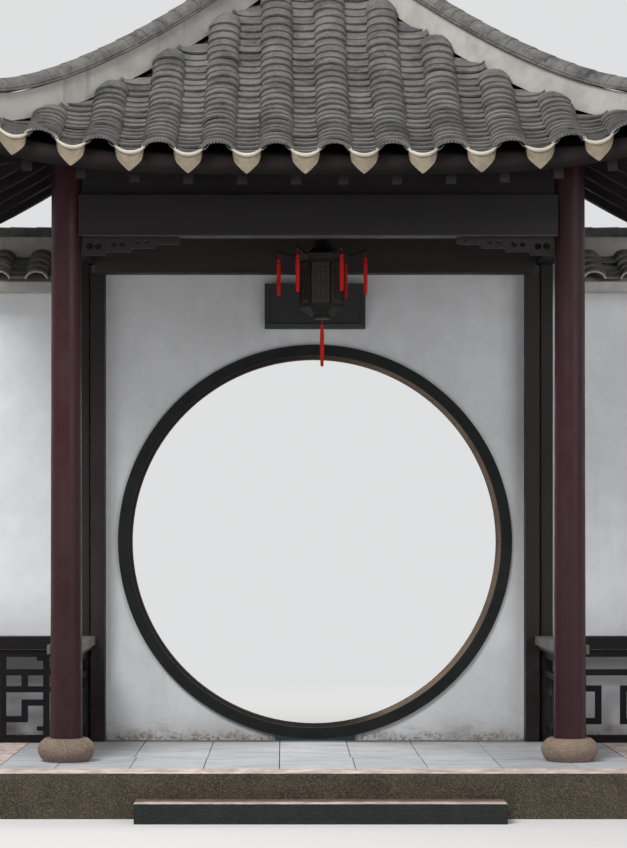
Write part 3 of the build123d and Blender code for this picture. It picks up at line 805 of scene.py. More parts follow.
@dataclass(frozen=True)
class Iron(Finish):
    """Dark iron wire with a little rust."""

    rust: Colour

    def fill(self, skin: Skin) -> None:
        """Rust in small clouds, less metallic than the iron.

        Args:
            skin: The material that takes it.
        """
        colour, rusty = skin.place(MOTTLE, scale=60.0, amount=0.5, colour=self.colour,
                                   other=self.rust)
        skin.set({"Base Color": colour, "Metallic": rusty.ramp(0.0, 1.0, 0.8, 0.1)})


@dataclass(frozen=True)
class StudioFloor(Finish):
    """The floor's plain pale colour, which passes into the backdrop's far from the part."""

    near: float = 3.4
    far: float = 9.0

    def fill(self, skin: Skin) -> None:
        """Mixes the matt floor with the backdrop's colour by the distance from the part.

        Args:
            skin: The material that takes it.
        """
        distance = skin.value("VectorMath", {0: skin.vector}, "Value", operation="LENGTH")
        share = distance.ramp(self.near, self.far) * skin.seen()
        glow = skin.add("Emission", {"Color": BACKDROP, "Strength": 1.0})
        skin.feed(skin.output, {"Surface": skin.add("MixShader", {0: share, 1: skin.shader,
                                                                  2: glow})})


WALL_PLASTER = Plaster("wall_plaster", (0.635, 0.64, 0.66), 0.85, (0.49, 0.495, 0.50))
RIDGE_PLASTER = Plaster("ridge_plaster", (0.42, 0.41, 0.38), 0.9, (0.16, 0.155, 0.14),
                        level=-1.0, streaks=0.75, band=0.0, marks=0.0)
RING_BRICK = Stone("ring_brick", (0.0155, 0.018, 0.018), 0.7, (0.026, 0.030, 0.027), scale=5.0,
                   rough=0.35, tone_share=0.25, specular=0.12)
LINING_STONE = Reveal("lining_stone", (0.30, 0.222, 0.165), 0.75, (0.15, 0.112, 0.085),
                      scale=4.0, rough=0.3, specular=0.0)
MORTAR = Stone("ring_mortar", (0.012, 0.012, 0.011), 0.9, (0.02, 0.02, 0.018), scale=9.0,
               specular=0.1)
GREEN_STONE = Stone("green_stone", (0.026, 0.048, 0.046), 0.75, (0.018, 0.028, 0.026), rough=0.3,
                    specular=0.15)
# The paving's dark strip along the wall's foot is painted shade.
PAVING = Stone("paving_stone", (0.46, 0.465, 0.485), 0.72, (0.21, 0.205, 0.205), amount=0.35,
               scale=2.6, rough=0.3, tone_share=0.10, streak=0.6, wall_foot_shade=(0.07, 0.085, 0.09))
# The steps' paler tops and the lower step's pale lips are partly wear and partly painted light from
# above.
STEP_STONE = Stone("step_stone", (0.088, 0.076, 0.054), 0.9, (0.035, 0.035, 0.025), amount=0.9,
                   scale=7.0, moss_amount=0.75, reach=0.22, rough=1.0, tone_share=0.1,
                   fleck=(0.235, 0.165, 0.115), worn_and_lit=(0.70, 0.575, 0.525))
LOW_STEP_STONE = Stone("low_step_stone", (0.026, 0.028, 0.029), 0.9, (0.014, 0.017, 0.017),
                       amount=0.9, scale=7.0, moss_amount=0.3, reach=0.1, rough=0.9,
                       fleck=(0.040, 0.040, 0.037), worn_and_lit=(0.17, 0.105, 0.082),
                       lip=(0.66, 0.55, 0.50))
BASE_STONE = Stone("base_stone", (0.27, 0.195, 0.15), 0.85, (0.12, 0.09, 0.07), rough=0.7,
                   fleck=(0.40, 0.30, 0.24))
BED_STONE = Stone("bed_stone", (0.06, 0.058, 0.052), 0.9, (0.035, 0.034, 0.03))
ROOF_TILE = Tile("roof_tile", (0.078, 0.076, 0.074), 0.88, (0.17, 0.16, 0.145))
EAVE_TILE = Tile("eave_tile", (0.185, 0.150, 0.105), 0.85, (0.255, 0.21, 0.15),
                 (0.10, 0.082, 0.06))
LIP_TILE = Tile("lip_tile", (0.42, 0.39, 0.33), 0.85, (0.52, 0.48, 0.41), (0.26, 0.24, 0.20))
LACQUER = Timber("maroon_lacquer", (0.031, 0.0060, 0.0092), 0.42, (0.022, 0.0048, 0.0075),
                 coat=0.04, specular=0.2)
JAMB_LACQUER = Timber("jamb_lacquer", (0.015, 0.0082, 0.0086), 0.5, (0.010, 0.006, 0.0064))
DARK_X = Timber("dark_timber_x", (0.0116, 0.0091, 0.0091), 0.55, (0.008, 0.006, 0.006),
                Grain.ALONG_X)
DARK_Y = replace(DARK_X, name="dark_timber_y", grain=Grain.ALONG_Y)
DARK_Z = Timber("dark_timber_z", (0.0105, 0.0105, 0.0090), 0.55, (0.0075, 0.007, 0.006))
FRONT_BEAM = Timber("front_beam", (0.0105, 0.0085, 0.0085), 0.55, (0.0075, 0.006, 0.006),
                    Grain.ALONG_X, line=(0.055, 0.052, 0.048), line_levels=(2.750, 2.7645))
WALL_BEAM = Timber("wall_beam", (0.030, 0.023, 0.023), 0.55, (0.021, 0.016, 0.016),
                   Grain.ALONG_X)
LATTICE = Timber("lattice_timber", (0.0068, 0.0060, 0.0072), 0.6, (0.005, 0.0045, 0.0052),
                 specular=0.12, dust_amount=0.04)
SEAT_X = Timber("seat_timber_x", (0.0095, 0.0072, 0.0088), 0.6, (0.007, 0.0055, 0.0062),
                Grain.ALONG_X, specular=0.12, dust_amount=0.05)
# The side seats' paler top board is partly wear and partly a painted reflection.
SEAT_Y = Timber("seat_timber_y", (0.045, 0.042, 0.040), 0.6, (0.028, 0.026, 0.025),
                Grain.ALONG_Y, line=(0.115, 0.112, 0.108), line_levels=(0.728, 0.7725))
ROOF_BOARDS = Timber("roof_boards", (0.013, 0.0095, 0.009), 0.8, (0.009, 0.007, 0.0065),
                     Grain.ALONG_X, specular=0.15)
BLACK_BOARD = Timber("black_board", (0.0095, 0.0105, 0.0125), 0.45, (0.0075, 0.008, 0.0095),
                     Grain.ALONG_X, line=(0.024, 0.034, 0.031), line_levels=(2.0, 2.443))
ROSEWOOD = Timber("rosewood", (0.010, 0.0075, 0.0068), 0.5, (0.007, 0.005, 0.0045), coat=0.05,
                  specular=0.15)
FRETWORK = Timber("fretwork", (0.040, 0.013, 0.011), 0.5, (0.028, 0.009, 0.008), specular=0.2)
LANTERN_GLASS = Pane("lantern_glass", (0.034, 0.037, 0.031), 0.4, (0.022, 0.024, 0.020))
RED_THREAD = Thread("red_thread", (0.66, 0.014, 0.006), 0.7, (0.30, 0.006, 0.004))
IRON = Iron("dark_iron", (0.04, 0.04, 0.04), 0.5, (0.12, 0.045, 0.02))
FLOOR = StudioFloor("studio_floor", (0.62, 0.61, 0.60), 0.9)
BACKDROP = (0.74, 0.745, 0.75)

NODE_FINISHES: Dict[Finish, str] = {
    WALL_PLASTER: "gate_wall left_wall right_wall",
    RIDGE_PLASTER: "wall_copings hip_ridges gable_ridges apex_block",
    RING_BRICK: "front_ring back_ring",
    LINING_STONE: "ring_lining",
    GREEN_STONE: "ring_sill",
    PAVING: "platform",
    STEP_STONE: "front_edge_stone side_edge_stones side_plinths",
    LOW_STEP_STONE: "lower_step back_step",
    BASE_STONE: "base_stones",
    LACQUER: "left_column right_column",
    JAMB_LACQUER: "jambs",
    DARK_X: "frieze_boards front_purlin lantern_bar brackets side_rafters hip_rafters",
    DARK_Y: "side_beams side_purlins front_rafters",
    DARK_Z: "wall_posts end_posts",
    FRONT_BEAM: "front_beam",
    WALL_BEAM: "wall_beam",
    BLACK_BOARD: "plaque",
    LATTICE: "seat_lattices left_wall_lattice right_wall_lattice",
    SEAT_X: "wall_seats",
    SEAT_Y: "side_seats",
    ROOF_BOARDS: "front_roof left_roof right_roof",
    ROSEWOOD: "lantern_canopy lantern_frame lantern_base",
    LANTERN_GLASS: "lantern_panes",
    RED_THREAD: "lantern_tassels",
    IRON: "lantern_hook lantern_ring",
}


# The roof and the copings


@dataclass(frozen=True)
class RoofForm:
    """One of the half pavilion's curved slopes, with the same sizes as the solids."""

    slope: Slope = Slope.FRONT
    floor: float = 0.21
    apex: float = 4.1255
    fall: float = 1.0984
    hollow: float = 0.1834
    boards: float = 0.088
    lift: float = 0.21
    eave: float = 1.75
    ridge_half: float = 0.05
    wall_face: float = -0.15

    def height(self, across: Array, out: Array) -> Array:
        """Top of the boards: a parabola over the distance out, plus the rise to the corner.

        Args:
            across: Distance from the middle line of the front slope, or from the wall.
            out: Distance out from the ridge line of the slope.

        Returns:
            Heights above ground.
        """
        side, ahead = np.abs(across), out
        if self.slope is not Slope.FRONT:
            side, ahead = out + self.ridge_half, across
        span, most = self.eave + self.ridge_half, 1.1
        share = np.clip(side / span, 0, most) * np.clip(ahead / self.eave, 0, most)
        curve = self.floor + self.apex - self.fall * out + self.hollow * out ** 2
        return curve + self.lift * share ** 4 + self.boards

    def at(self, across: Array, out: Array, z: Array) -> Array:
        """Points at these distances across and out, and at these heights above ground.

        Args:
            across: Distance from the middle line of the front slope, or from the wall.
            out: Distance out from the ridge line of the slope.
            z: Height above ground.

        Returns:
            The points, with xyz last.
        """
        x, y = across, self.wall_face - out
        if self.slope is not Slope.FRONT:
            side = 1.0 if self.slope is Slope.RIGHT else -1.0
            x, y = side * (self.ridge_half + out), self.wall_face - across
        return np.stack(np.broadcast_arrays(x, y, z), axis=-1)

    def shell(self) -> Array:
        """The boards as a closed shell of points: their top, their edges and their underside.

        Returns:
            A grid of points with its columns round the section.
        """
        front, gap = self.slope is Slope.FRONT, 0.006
        start = 0.01 if front else 0.03
        out = start + (self.eave - start) * np.linspace(0.0, 1.0, 30)[:, None]
        share = np.linspace(-1.0, 1.0, 41)
        across = (share * (out + self.ridge_half - gap) if front
                  else (share * 0.5 + 0.5) * (out - gap))
        top = self.height(across, out)
        upper, lower = (self.at(across, out, z) for z in (top, top - self.boards))
        return np.concatenate([upper, lower[:, ::-1]], axis=1)

    def put(self, across: Array, out: Array, above: Array) -> Array:
        """Points over the slope, lifted along its upright normal in the plane of the fall.

        Args:
            across: Distance from the middle line of the front slope, or from the wall.
            out: Distance out from the ridge line of the slope.
            above: Distance over the boards.

        Returns:
            The points.
        """
        step = 1e-3
        level = self.height(across, out)
        fall = (self.height(across, out + step) - level) / step
        length = np.sqrt(1 + fall ** 2)
        return self.at(across, out - above * fall / length, level + above / length)


@dataclass
class TileField:
    """Rows of curved tiles in overlapping steps, with shaped end tiles at the eave."""

    place: Place
    cover_width: float = 0.165
    cover_rise: float = 0.045
    pan_width: float = 0.19
    pan_sag: float = 0.028
    thickness: float = 0.011
    exposure: float = 0.056
    tile_length: float = 0.092
    kick: float = 0.019
    cover_base: float = 0.010
    pan_base: float = 0.030
    drip_half: float = 0.068
    drip_drop: float = 0.110
    steps: int = 9
    seed: int = 3

    def columns(self, covers: Sequence[Run], pans: Sequence[Run], tiles: Surface) -> None:
        """Adds the tiles of some columns.

        Args:
            covers: For each column of covers, its place across, and where it starts and ends.
            pans: The same for the columns of pans.
            tiles: The surface that takes them.
        """
        rng = np.random.default_rng(self.seed)
        cover = (self.cover_width / 2, self.cover_rise, self.cover_base)
        pan = (self.pan_width / 2, -self.pan_sag, self.pan_base)
        for form, runs in ((cover, covers), (pan, pans)):
            for across, start, end in runs:
                number = int((end - start) / self.exposure)
                if number > 0:
                    self.stack(form, across, end - self.exposure * np.arange(number), rng, tiles)

    def stack(self, form: Run, across: float, lower: Array, rng: np.random.Generator,
              tiles: Surface) -> None:
        """Adds one column: an arch w cos(a) wide, rise sin(a) high, tilted up at its lower end.

        Args:
            form: The arch's half width w, its rise and its height over the boards.
            across: The column's place across the slope.
            lower: Distance out of each tile's lower end.
            rng: Sets each tile a little askew and gives it its shade.
            tiles: The surface that takes them.
        """
        wide, rise, base = form
        angle, number, thick = np.linspace(0, np.pi, self.steps), len(lower), self.thickness
        shift = rng.normal(0, 0.0025, number)
        slip = rng.normal(0, 0.0025, number)
        tilt = rng.normal(0, 0.0015, number)
        tones = np.clip(rng.normal(0.5, 0.22, number), 0, 1)
        loop_u = np.concatenate([wide * np.cos(angle), (wide - thick) * np.cos(angle[::-1])])
        loop_h = np.concatenate([rise * np.sin(angle) + thick, rise * np.sin(angle[::-1])])
        ends = lower[:, None] + slip[:, None] - self.tile_length * np.array([1.0, 0.5, 0.0])
        raised = base + tilt[:, None] + self.kick * np.array([0.0, 0.5, 1.0])
        taper = np.array([0.94, 0.97, 1.0])[None, :, None]
        u = across + shift[:, None, None] + loop_u * taper
        h = raised[:, :, None] + loop_h
        grid = self.place(u, ends[:, :, None] + 0 * u, h)
        tiles.add(grid, tones, around=True)
        # Painted highlight: each tile's lower end face takes a paler shade than the tile's body.
        outer, inner = grid[:, -1, :self.steps], grid[:, -1, self.steps:][:, ::-1]
        tiles.add(np.stack([outer, inner], axis=1), tones * 0.5 + 0.5)

    def hang(self, across: Array, out: Array, height: Array, end: float) -> Array:
        """Points that keep their plan on the slope but hang upright from its end.

        Args:
            across: Their place across the slope.
            out: Their distance out.
            height: Their height over the slope's end.
            end: Distance out of the eave.

        Returns:
            The points.
        """
        level = self.place(across, np.full_like(across, end), 0 * across)
        hung = self.place(across, out, 0 * across)
        hung[..., 2] = level[..., 2] + height
        return hung

    def drips(self, places: Array, end: float, shields: Surface, lips: Surface) -> None:
        """Adds the pointed drip tiles: a bowed shield under the pan's end, with a lip on top.

        Args:
            places: Where each hangs across the slope.
            end: Distance out of the eave.
            shields: The surface that takes the shields.
            lips: The surface that takes the lips.
        """
        half, bulge, half_thick = self.drip_half, 0.024, 0.005
        u, v = np.meshgrid(np.sin(np.linspace(-np.pi / 2, np.pi / 2, 23)), np.linspace(0, 1, 12))
        top = self.pan_base - self.pan_sag * (1 - u ** 2) + 0.004
        point = 0.6 * np.abs(u) ** 1.2 + 0.4 * np.abs(u) ** 12
        low = self.pan_base - self.drip_drop * (1 - point)
        bow = bulge * (1 - u ** 2) * (1 - 0.5 * v)
        rings = 0.0016 * np.cos((1 - v) * 34) * (1 - v ** 8)
        middles = places[:, None, None]
        for depth, flip in ((bow + rings + half_thick, True), (bow - half_thick, False)):
            shields.add(self.hang(middles + u * half, end + 0.010 + depth + v * 0.012,
                                  top + (low - top) * v, end), 0.6, flip=flip)
        angle = np.linspace(0, 2 * np.pi, 9)[:-1]
        line = np.linspace(-1.04, 1.04, 23)[:, None]
        thick = 0.0095 * np.sqrt(np.clip(1.04 - np.abs(line) ** 6, 0.05, 1))
        level = self.pan_base - self.pan_sag * (1 - line ** 2) + 0.003
        out = end + 0.016 + bulge * (1 - line ** 2) + thick * np.cos(angle)
        lips.add(self.hang(middles + line * half + 0 * angle, out,
                           level + thick * np.sin(angle), end), 0.6, around=True)

    def rims(self, places: Array, end: float, bands: Surface, beads: Surface) -> None:
        """Adds the band round the end of each cover and the row of beads on it.

        Args:
            places: Where each cover ends across the slope.
            end: Distance out of the eave.
            bands: The surface that takes the bands.
            beads: The surface that takes the beads.
        """
        wide, rise, base = self.cover_width / 2 - 0.010, self.cover_rise - 0.002, self.cover_base
        band, bead, middle = 0.012, 0.0055, 0.008
        angle = np.linspace(0.08, np.pi - 0.08, 25)[:, None]
        forth, grow = np.array([(0.0, 0.0), (band, 0.0), (band, 0.014), (0.0, 0.014)]).T
        bands.add(self.hang(places[:, None, None] + (wide + grow) * np.cos(angle),
                            end + 0.002 + forth, base + band + (rise + grow) * np.sin(angle),
                            end), around=True, flip=True)
        ring = np.linspace(0, 2 * np.pi, 7)[:-1]
        size, bulge = bead * np.array([[1.0], [0.75], [0.15]]), np.array([[0.0], [0.002], [0.0035]])
        spots = np.linspace(0.16, np.pi - 0.16, 15)
        across = (places[:, None] + (wide + middle) * np.cos(spots)).reshape(-1, 1, 1)
        level = np.tile(base + 0.010 + (rise + middle) * np.sin(spots), len(places))
        beads.add(self.hang(across + size * np.cos(ring), end + 0.014 + bulge,
                            level[:, None, None] + size * np.sin(ring), end), 0.55,
                  around=True, flip=True)


def unit(vectors: Array) -> Array:
    """The vectors with their length made 1."""
    return vectors / np.linalg.norm(vectors, axis=-1, keepdims=True)


def capped_path(path: Array, radius: float, surface: Surface, rng: np.random.Generator) -> None:
    """Half-round tiles laid end on end along a line: (r cos a) to the side, (r squash sin a) up.

    Args:
        path: Points of the line, as (point, xyz).
        radius: Half the width of a tile.
        surface: The surface that takes them.
        rng: Gives each tile its shade.
    """
    tile, squash, overlap, spread, inside, step = 0.13, 0.8, 1.04, 0.07, 0.82, 0.01
    lengths = np.concatenate([[0], np.cumsum(np.linalg.norm(np.diff(path, axis=0), axis=1))])
    number = max(int(lengths[-1] / tile), 1)
    edges = np.linspace(0, lengths[-1], number + 1)
    angle, share = np.linspace(0, np.pi, 11), np.array([0.0, 0.5, 1.0])
    spots = edges[:-1, None] + (edges[1] - edges[0]) * share * overlap
    centre, ahead, behind = (
        np.stack([np.interp(spots + move, lengths, path[:, k]) for k in range(3)], axis=-1)
        for move in (0.0, step, -step))
    along = unit(ahead - behind)
    side = unit(np.cross(along, UP))
    up = np.cross(side, along)
    size = (radius * (1 + spread * share))[:, None]
    ring = (side[:, :, None] * (size * np.cos(angle))[..., None]
            + up[:, :, None] * (size * squash * np.sin(angle))[..., None])
    tones = np.clip(rng.normal(0.5, 0.2, number), 0, 1)
    outer, inner = (centre[:, :, None] + ring * scale for scale in (1.0, inside))
    surface.add(outer, tones, flip=True)
    surface.add(inner, tones)
    for row, flip in ((-1, True), (0, False)):
        surface.add(np.stack([outer[:, row], inner[:, row]], axis=1), tones, flip=flip)


def strip_course(path: Array, band: Band, surface: Surface) -> None:
    """A thin closed course along a line, a rectangle carried along the path.

    Args:
        path: Points of the line, as (point, xyz).
        band: Half its width, its underside and top over the line, and its shade.
        surface: The surface that takes it.
    """
    half, low, high, tone = band
    side = unit(np.cross(np.gradient(path, axis=0), UP))
    corners = [(-half, low), (half, low), (half, high), (-half, high)]
    ring = np.stack([path + side * u + UP * h for u, h in corners], axis=1)
    surface.add(ring, tone, around=True, flip=True)
    for end, flip in ((ring[0], False), (ring[-1], True)):
        surface.add(np.stack([end[:2], end[[3, 2]]]), tone, flip=flip)


@dataclass
class TiledRoof:
    """Tiles, eave tiles, ridge courses and caps of the half pavilion."""

    form: RoofForm = RoofForm()
    pitch: float = 0.27
    first_cover: float = 0.068
    first_side_cover: float = 0.16
    corner_gap: float = 0.06
    hip_gap: float = 0.07
    highest_tile: float = 0.16
    eave_over: float = 0.035
    ridge_height: float = 0.144
    hip_start: float = 0.11
    hip_reach: float = 0.09
    hip_rise: float = 0.075
    hip_courses: Tuple[Band, ...] = ((0.072, 0.002, 0.014, 0.3), (0.062, 0.014, 0.026, 0.45))
    verge_height: float = 0.107
    verge_start: float = 0.14
    verge_end: float = 1.395
    verge_edges: Tuple[float, float] = (-0.205, 0.165)
    verge_tiles: Tuple[Run, ...] = ((-0.27, 0.09, 1.33), (-0.03, 0.09, 1.33))
    verge_bed: float = 0.03

    def column_places(self, slope: Slope) -> Tuple[Array, Array]:
        """Places across a slope of its columns of covers, and of the pans between them.

        Args:
            slope: One of the three slopes.

        Returns:
            The middle lines of the covers, and of the pans.
        """
        if slope is not Slope.FRONT:
            covers = np.arange(self.first_side_cover, self.form.eave, self.pitch)
            return covers, covers - self.pitch / 2 + 0.01
        limit = self.form.eave + self.form.ridge_half - self.corner_gap
        number = int(limit / self.pitch) + 1
        covers = self.first_cover + self.pitch * np.arange(-number - 1, number + 1)
        covers = covers[np.abs(covers) < limit]
        return covers, covers[:-1] + self.pitch / 2

    def tile_slopes(self) -> None:
        """Lays pans and covers on the three slopes, each from its hip down to the eave."""
        end = self.form.eave + self.eave_over
        for slope in Slope:
            form = replace(self.form, slope=slope)
            tiles, edges, lips = Surface(), Surface(), Surface()
            rows = TileField(form.put, seed=len(slope.value))
            covers, pans = self.column_places(slope)
            shift = form.ridge_half if slope is Slope.FRONT else 0.0
            runs = [[(place, max(abs(place) - shift + self.hip_gap, self.highest_tile), end)
                     for place in places] for places in (covers, pans)]
            rows.columns(*runs, tiles)
            rows.drips(pans, end, edges, lips)
            rows.rims(covers, end, tiles, lips)
            tiles.build(slope.value + "_tiles", ROOF_TILE, "roof_tile", smooth_angle=50)
            edges.build(slope.value + "_eave_tiles", EAVE_TILE, "roof_tile", smooth_angle=60)
            lips.build(slope.value + "_eave_lips", LIP_TILE, "roof_tile", smooth_angle=60)
            self.lay_boards(form)

    def lay_boards(self, form: RoofForm) -> None:
        """Closes the shell of boards under one slope's tiles, in place of the thicker solid.

        Args:
            form: The slope's form.
        """
        shell, left, name = form.shell(), form.slope is Slope.LEFT, form.slope.value
        half, boards = shell.shape[1] // 2, Surface()
        boards.add(shell, around=True, flip=not left)
        for rim, flip in ((shell[0], left), (shell[-1], not left)):
            boards.add(np.stack([rim[:half], rim[half:][::-1]]), flip=flip)
        boards.build(name + "_boards", ROOF_BOARDS, "roof_boards", smooth_angle=30,
                     replaces=[name + "_roof"], merge=WELD)

    def hip_line(self, side: float) -> Array:
        """Top of a hip ridge: out along the plan's diagonal at the slope's height, turned up.

        Args:
            side: -1 for the left hip, 1 for the right.

        Returns:
            The line's points from the top down, as (point, xyz).
        """
        half, end = self.form.ridge_half, self.form.eave - 0.02
        out = np.linspace(self.hip_start, end, 40)
        z = self.form.height(out + half, out) + self.ridge_height
        out, z = np.append(out, end + self.hip_reach), np.append(z, z[-1] + self.hip_rise)
        return np.stack([side * (half + out), self.form.wall_face - out, z], axis=-1)

    def gable_line(self, side: float) -> Array:
        """Top middle of the gable's ridge, over the wall.

        Args:
            side: -1 for the left half, 1 for the right.

        Returns:
            The line's points from the middle out, as (point, xyz).
        """
        x = np.linspace(self.verge_start, self.verge_end, 30)
        slope = replace(self.form, slope=Slope.RIGHT)
        z = slope.height(0 * x, x - slope.ridge_half) + self.verge_height
        return np.stack([side * x, 0 * x, z], axis=-1)

    def crown_ridges(self) -> None:
        """Tile courses and half-round caps on the hips and on the gable's edges."""
        caps, courses = Surface(), Surface()
        rng = np.random.default_rng(11)
        for side, slope in ((-1.0, Slope.LEFT), (1.0, Slope.RIGHT)):
            hip, gable = self.hip_line(side), self.gable_line(side)
            for band in self.hip_courses:
                strip_course(hip, band, courses)
            capped_path(hip + UP * 0.024, 0.056, caps, rng)
            for shift in self.verge_edges:
                strip_course(gable + np.array([0, shift, 0]), (0.03, 0.001, 0.016, 0.4), courses)
            strip_course(gable, (0.06, 0.0, 0.05, 0.5), courses)
            capped_path(gable + UP * 0.05, 0.055, caps, rng)
            rows = TileField(partial(self.put_on_verge, slope), exposure=0.05, tile_length=0.09,
                             cover_width=0.12, seed=5)
            rows.columns(self.verge_tiles, (), caps)
        caps.build("ridge_caps", ROOF_TILE, "roof_tile", smooth_angle=50)
        courses.build("ridge_courses", ROOF_TILE, "roof_tile", bevel=0.003)

    def put_on_verge(self, slope: Slope, across: Array, out: Array, above: Array) -> Array:
        """Points over the bed of the gable's ridge, which follows the side slope."""
        height = above + self.verge_height - self.verge_bed
        return replace(self.form, slope=slope).put(across, out, height)


@dataclass
class WallCopings:
    """Tiles and ridge caps on the side walls' copings."""

    top: float = 2.61
    edge: float = 0.30
    edge_thickness: float = 0.046
    ridge_half: float = 0.05
    rise: float = 0.15
    ridge_height: float = 0.12
    start: float = 1.36
    end: float = 2.65
    pitch: float = 0.2

    def put(self, side: float, face: float, across: Array, out: Array, above: Array) -> Array:
        """Points over one flat slope, whose level falls evenly with the distance out.

        Args:
            side: -1 for the left wall, 1 for the right.
            face: -1 for the front slope, 1 for the rear.
            across: Distance along the wall from the middle of the gate.
            out: Distance out from the ridge.
            above: Height over the coping.

        Returns:
            The points.
        """
        crest = self.top + self.edge_thickness + self.rise
        z = crest - self.rise * out / (self.edge - self.ridge_half) + above
        return np.stack(np.broadcast_arrays(side * across, face * (self.ridge_half + out), z),
                        axis=-1)

    def tile(self) -> None:
        """Lays short columns of tiles down both sides, and caps along the ridge."""
        crest = self.top + self.edge_thickness + self.rise
        outs = (0.02, self.edge - self.ridge_half + 0.012)
        covers = np.arange(self.start + 0.12, self.end - 0.05, self.pitch)
        tiles, edges, beads = Surface(), Surface(), Surface()
        rng = np.random.default_rng(21)
        for side in (-1.0, 1.0):
            for face in (-1.0, 1.0):
                rows = TileField(partial(self.put, side, face), cover_width=0.12,
                                 cover_rise=0.036, pan_width=0.15, pan_sag=0.022,
                                 cover_base=0.008, pan_base=0.024, seed=int(31 + side + 2 * face))
                rows.columns(*[[(place, *outs) for place in places]
                               for places in (covers, covers - self.pitch / 2)], tiles)
                rows.rims(covers, outs[1], edges, beads)
            line = np.linspace(self.start, self.end, 12)
            path = np.stack([side * line, 0 * line, 0 * line + crest + self.ridge_height], axis=-1)
            strip_course(path, (0.064, 0.0, 0.014, 0.3), edges)
            capped_path(path + UP * 0.014, 0.056, tiles, rng)
        tiles.build("coping_tiles", ROOF_TILE, "roof_tile", smooth_angle=50)
        edges.build("coping_edge_tiles", ROOF_TILE, "roof_tile", smooth_angle=40)
        beads.build("coping_beads", LIP_TILE, "roof_tile", smooth_angle=60)


# The ring, the paving and the lantern


@dataclass
class RingMortar:
    """Dark mortar in the open joints of the ring and its lining, set back from their faces."""

    inset: float = 0.003
    steps: int = 144

    def fill_joints(self) -> None:
        """Fills the joints of the front ring, the back ring and the lining."""
        points = node_points("ring_lining")
        middle = (points[:, 2].min() + points[:, 2].max()) / 2
        radius = np.hypot(points[:, 0], points[:, 2] - middle)
        low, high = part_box("ring_lining")
        opening = (high[0] - low[0]) / 2 - float(radius.max() - radius.min())
        for name, slot, nodes in (("ring_mortar", "dark_brick", ("front_ring", "back_ring")),
                                  ("lining_mortar", "pale_lining", ("ring_lining",))):
            mortar = Surface()
            for node in nodes:
                self.fill_ring(node, opening, mortar)
            mortar.build(name, MORTAR, slot, merge=WELD)

    def fill_ring(self, node: str, opening: float, mortar: Surface) -> None:
        """Adds a closed ring: x = r cos a, z = centre + r sin a, with r and y round a rectangle.

        Args:
            node: The ring whose joints are filled.
            opening: Radius of the clear opening.
            mortar: The surface that it goes to.
        """
        low, high = np.array(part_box(node))
        inner, outer = opening + self.inset, (high[0] - low[0]) / 2 - self.inset
        front, back = low[1] + self.inset, high[1] - self.inset
        radius = np.array([inner, outer, outer, inner, inner])[:, None]
        depth = np.array([front, front, back, back, front])[:, None]
        angle = np.linspace(0, 2 * np.pi, self.steps, endpoint=False)[None]
        grid = np.stack([radius * np.cos(angle), depth + 0 * angle,
                         (low[2] + high[2]) / 2 + radius * np.sin(angle)], axis=-1)
        mortar.add(grid, around=True, flip=True)


@dataclass
class Paving:
    """Slabs of the porch floor, laid with open joints over a dark bed."""

    half_width: float = 1.52
    near: float = -1.72
    cross: float = -1.13
    far: float = -0.15
    top: float = 0.21
    slab: float = 0.352
    first_joint: float = -0.188
    joint: float = 0.004
    thickness: float = 0.06
    bed_depth: float = 0.012

    def lay(self) -> None:
        """Lays two rows of long slabs with one cross joint, and the bed that shows between them."""
        rng = np.random.default_rng(7)
        low, high, wide, gap = [], [], self.half_width, self.joint / 2
        for front, back in ((self.near, self.cross), (self.cross, self.far)):
            edges = self.first_joint + self.slab * np.arange(-6, 7) + rng.normal(0, 0.006, 13)
            edges = np.concatenate([[-wide], edges[np.abs(edges) < wide - 0.05], [wide]])
            for left, right in zip(edges[:-1], edges[1:]):
                drop = rng.uniform(0, 0.0015)
                low.append((left + gap, front + gap, self.top - self.thickness))
                high.append((right - gap, back - gap, self.top - drop))
        slabs, bed = Surface(), Surface()
        slabs.add_blocks(np.array(low), np.array(high), rng.uniform(0.1, 0.9, len(low)))
        slabs.build("paving_slabs", PAVING, "paving_stone", bevel=0.0015, replaces=["platform"])
        bed.add_blocks(np.array([[-wide, self.near, 0.0]]),
                       np.array([[wide, self.far, self.top - self.bed_depth]]))
        bed.build("paving_bed", BED_STONE, "step_stone")


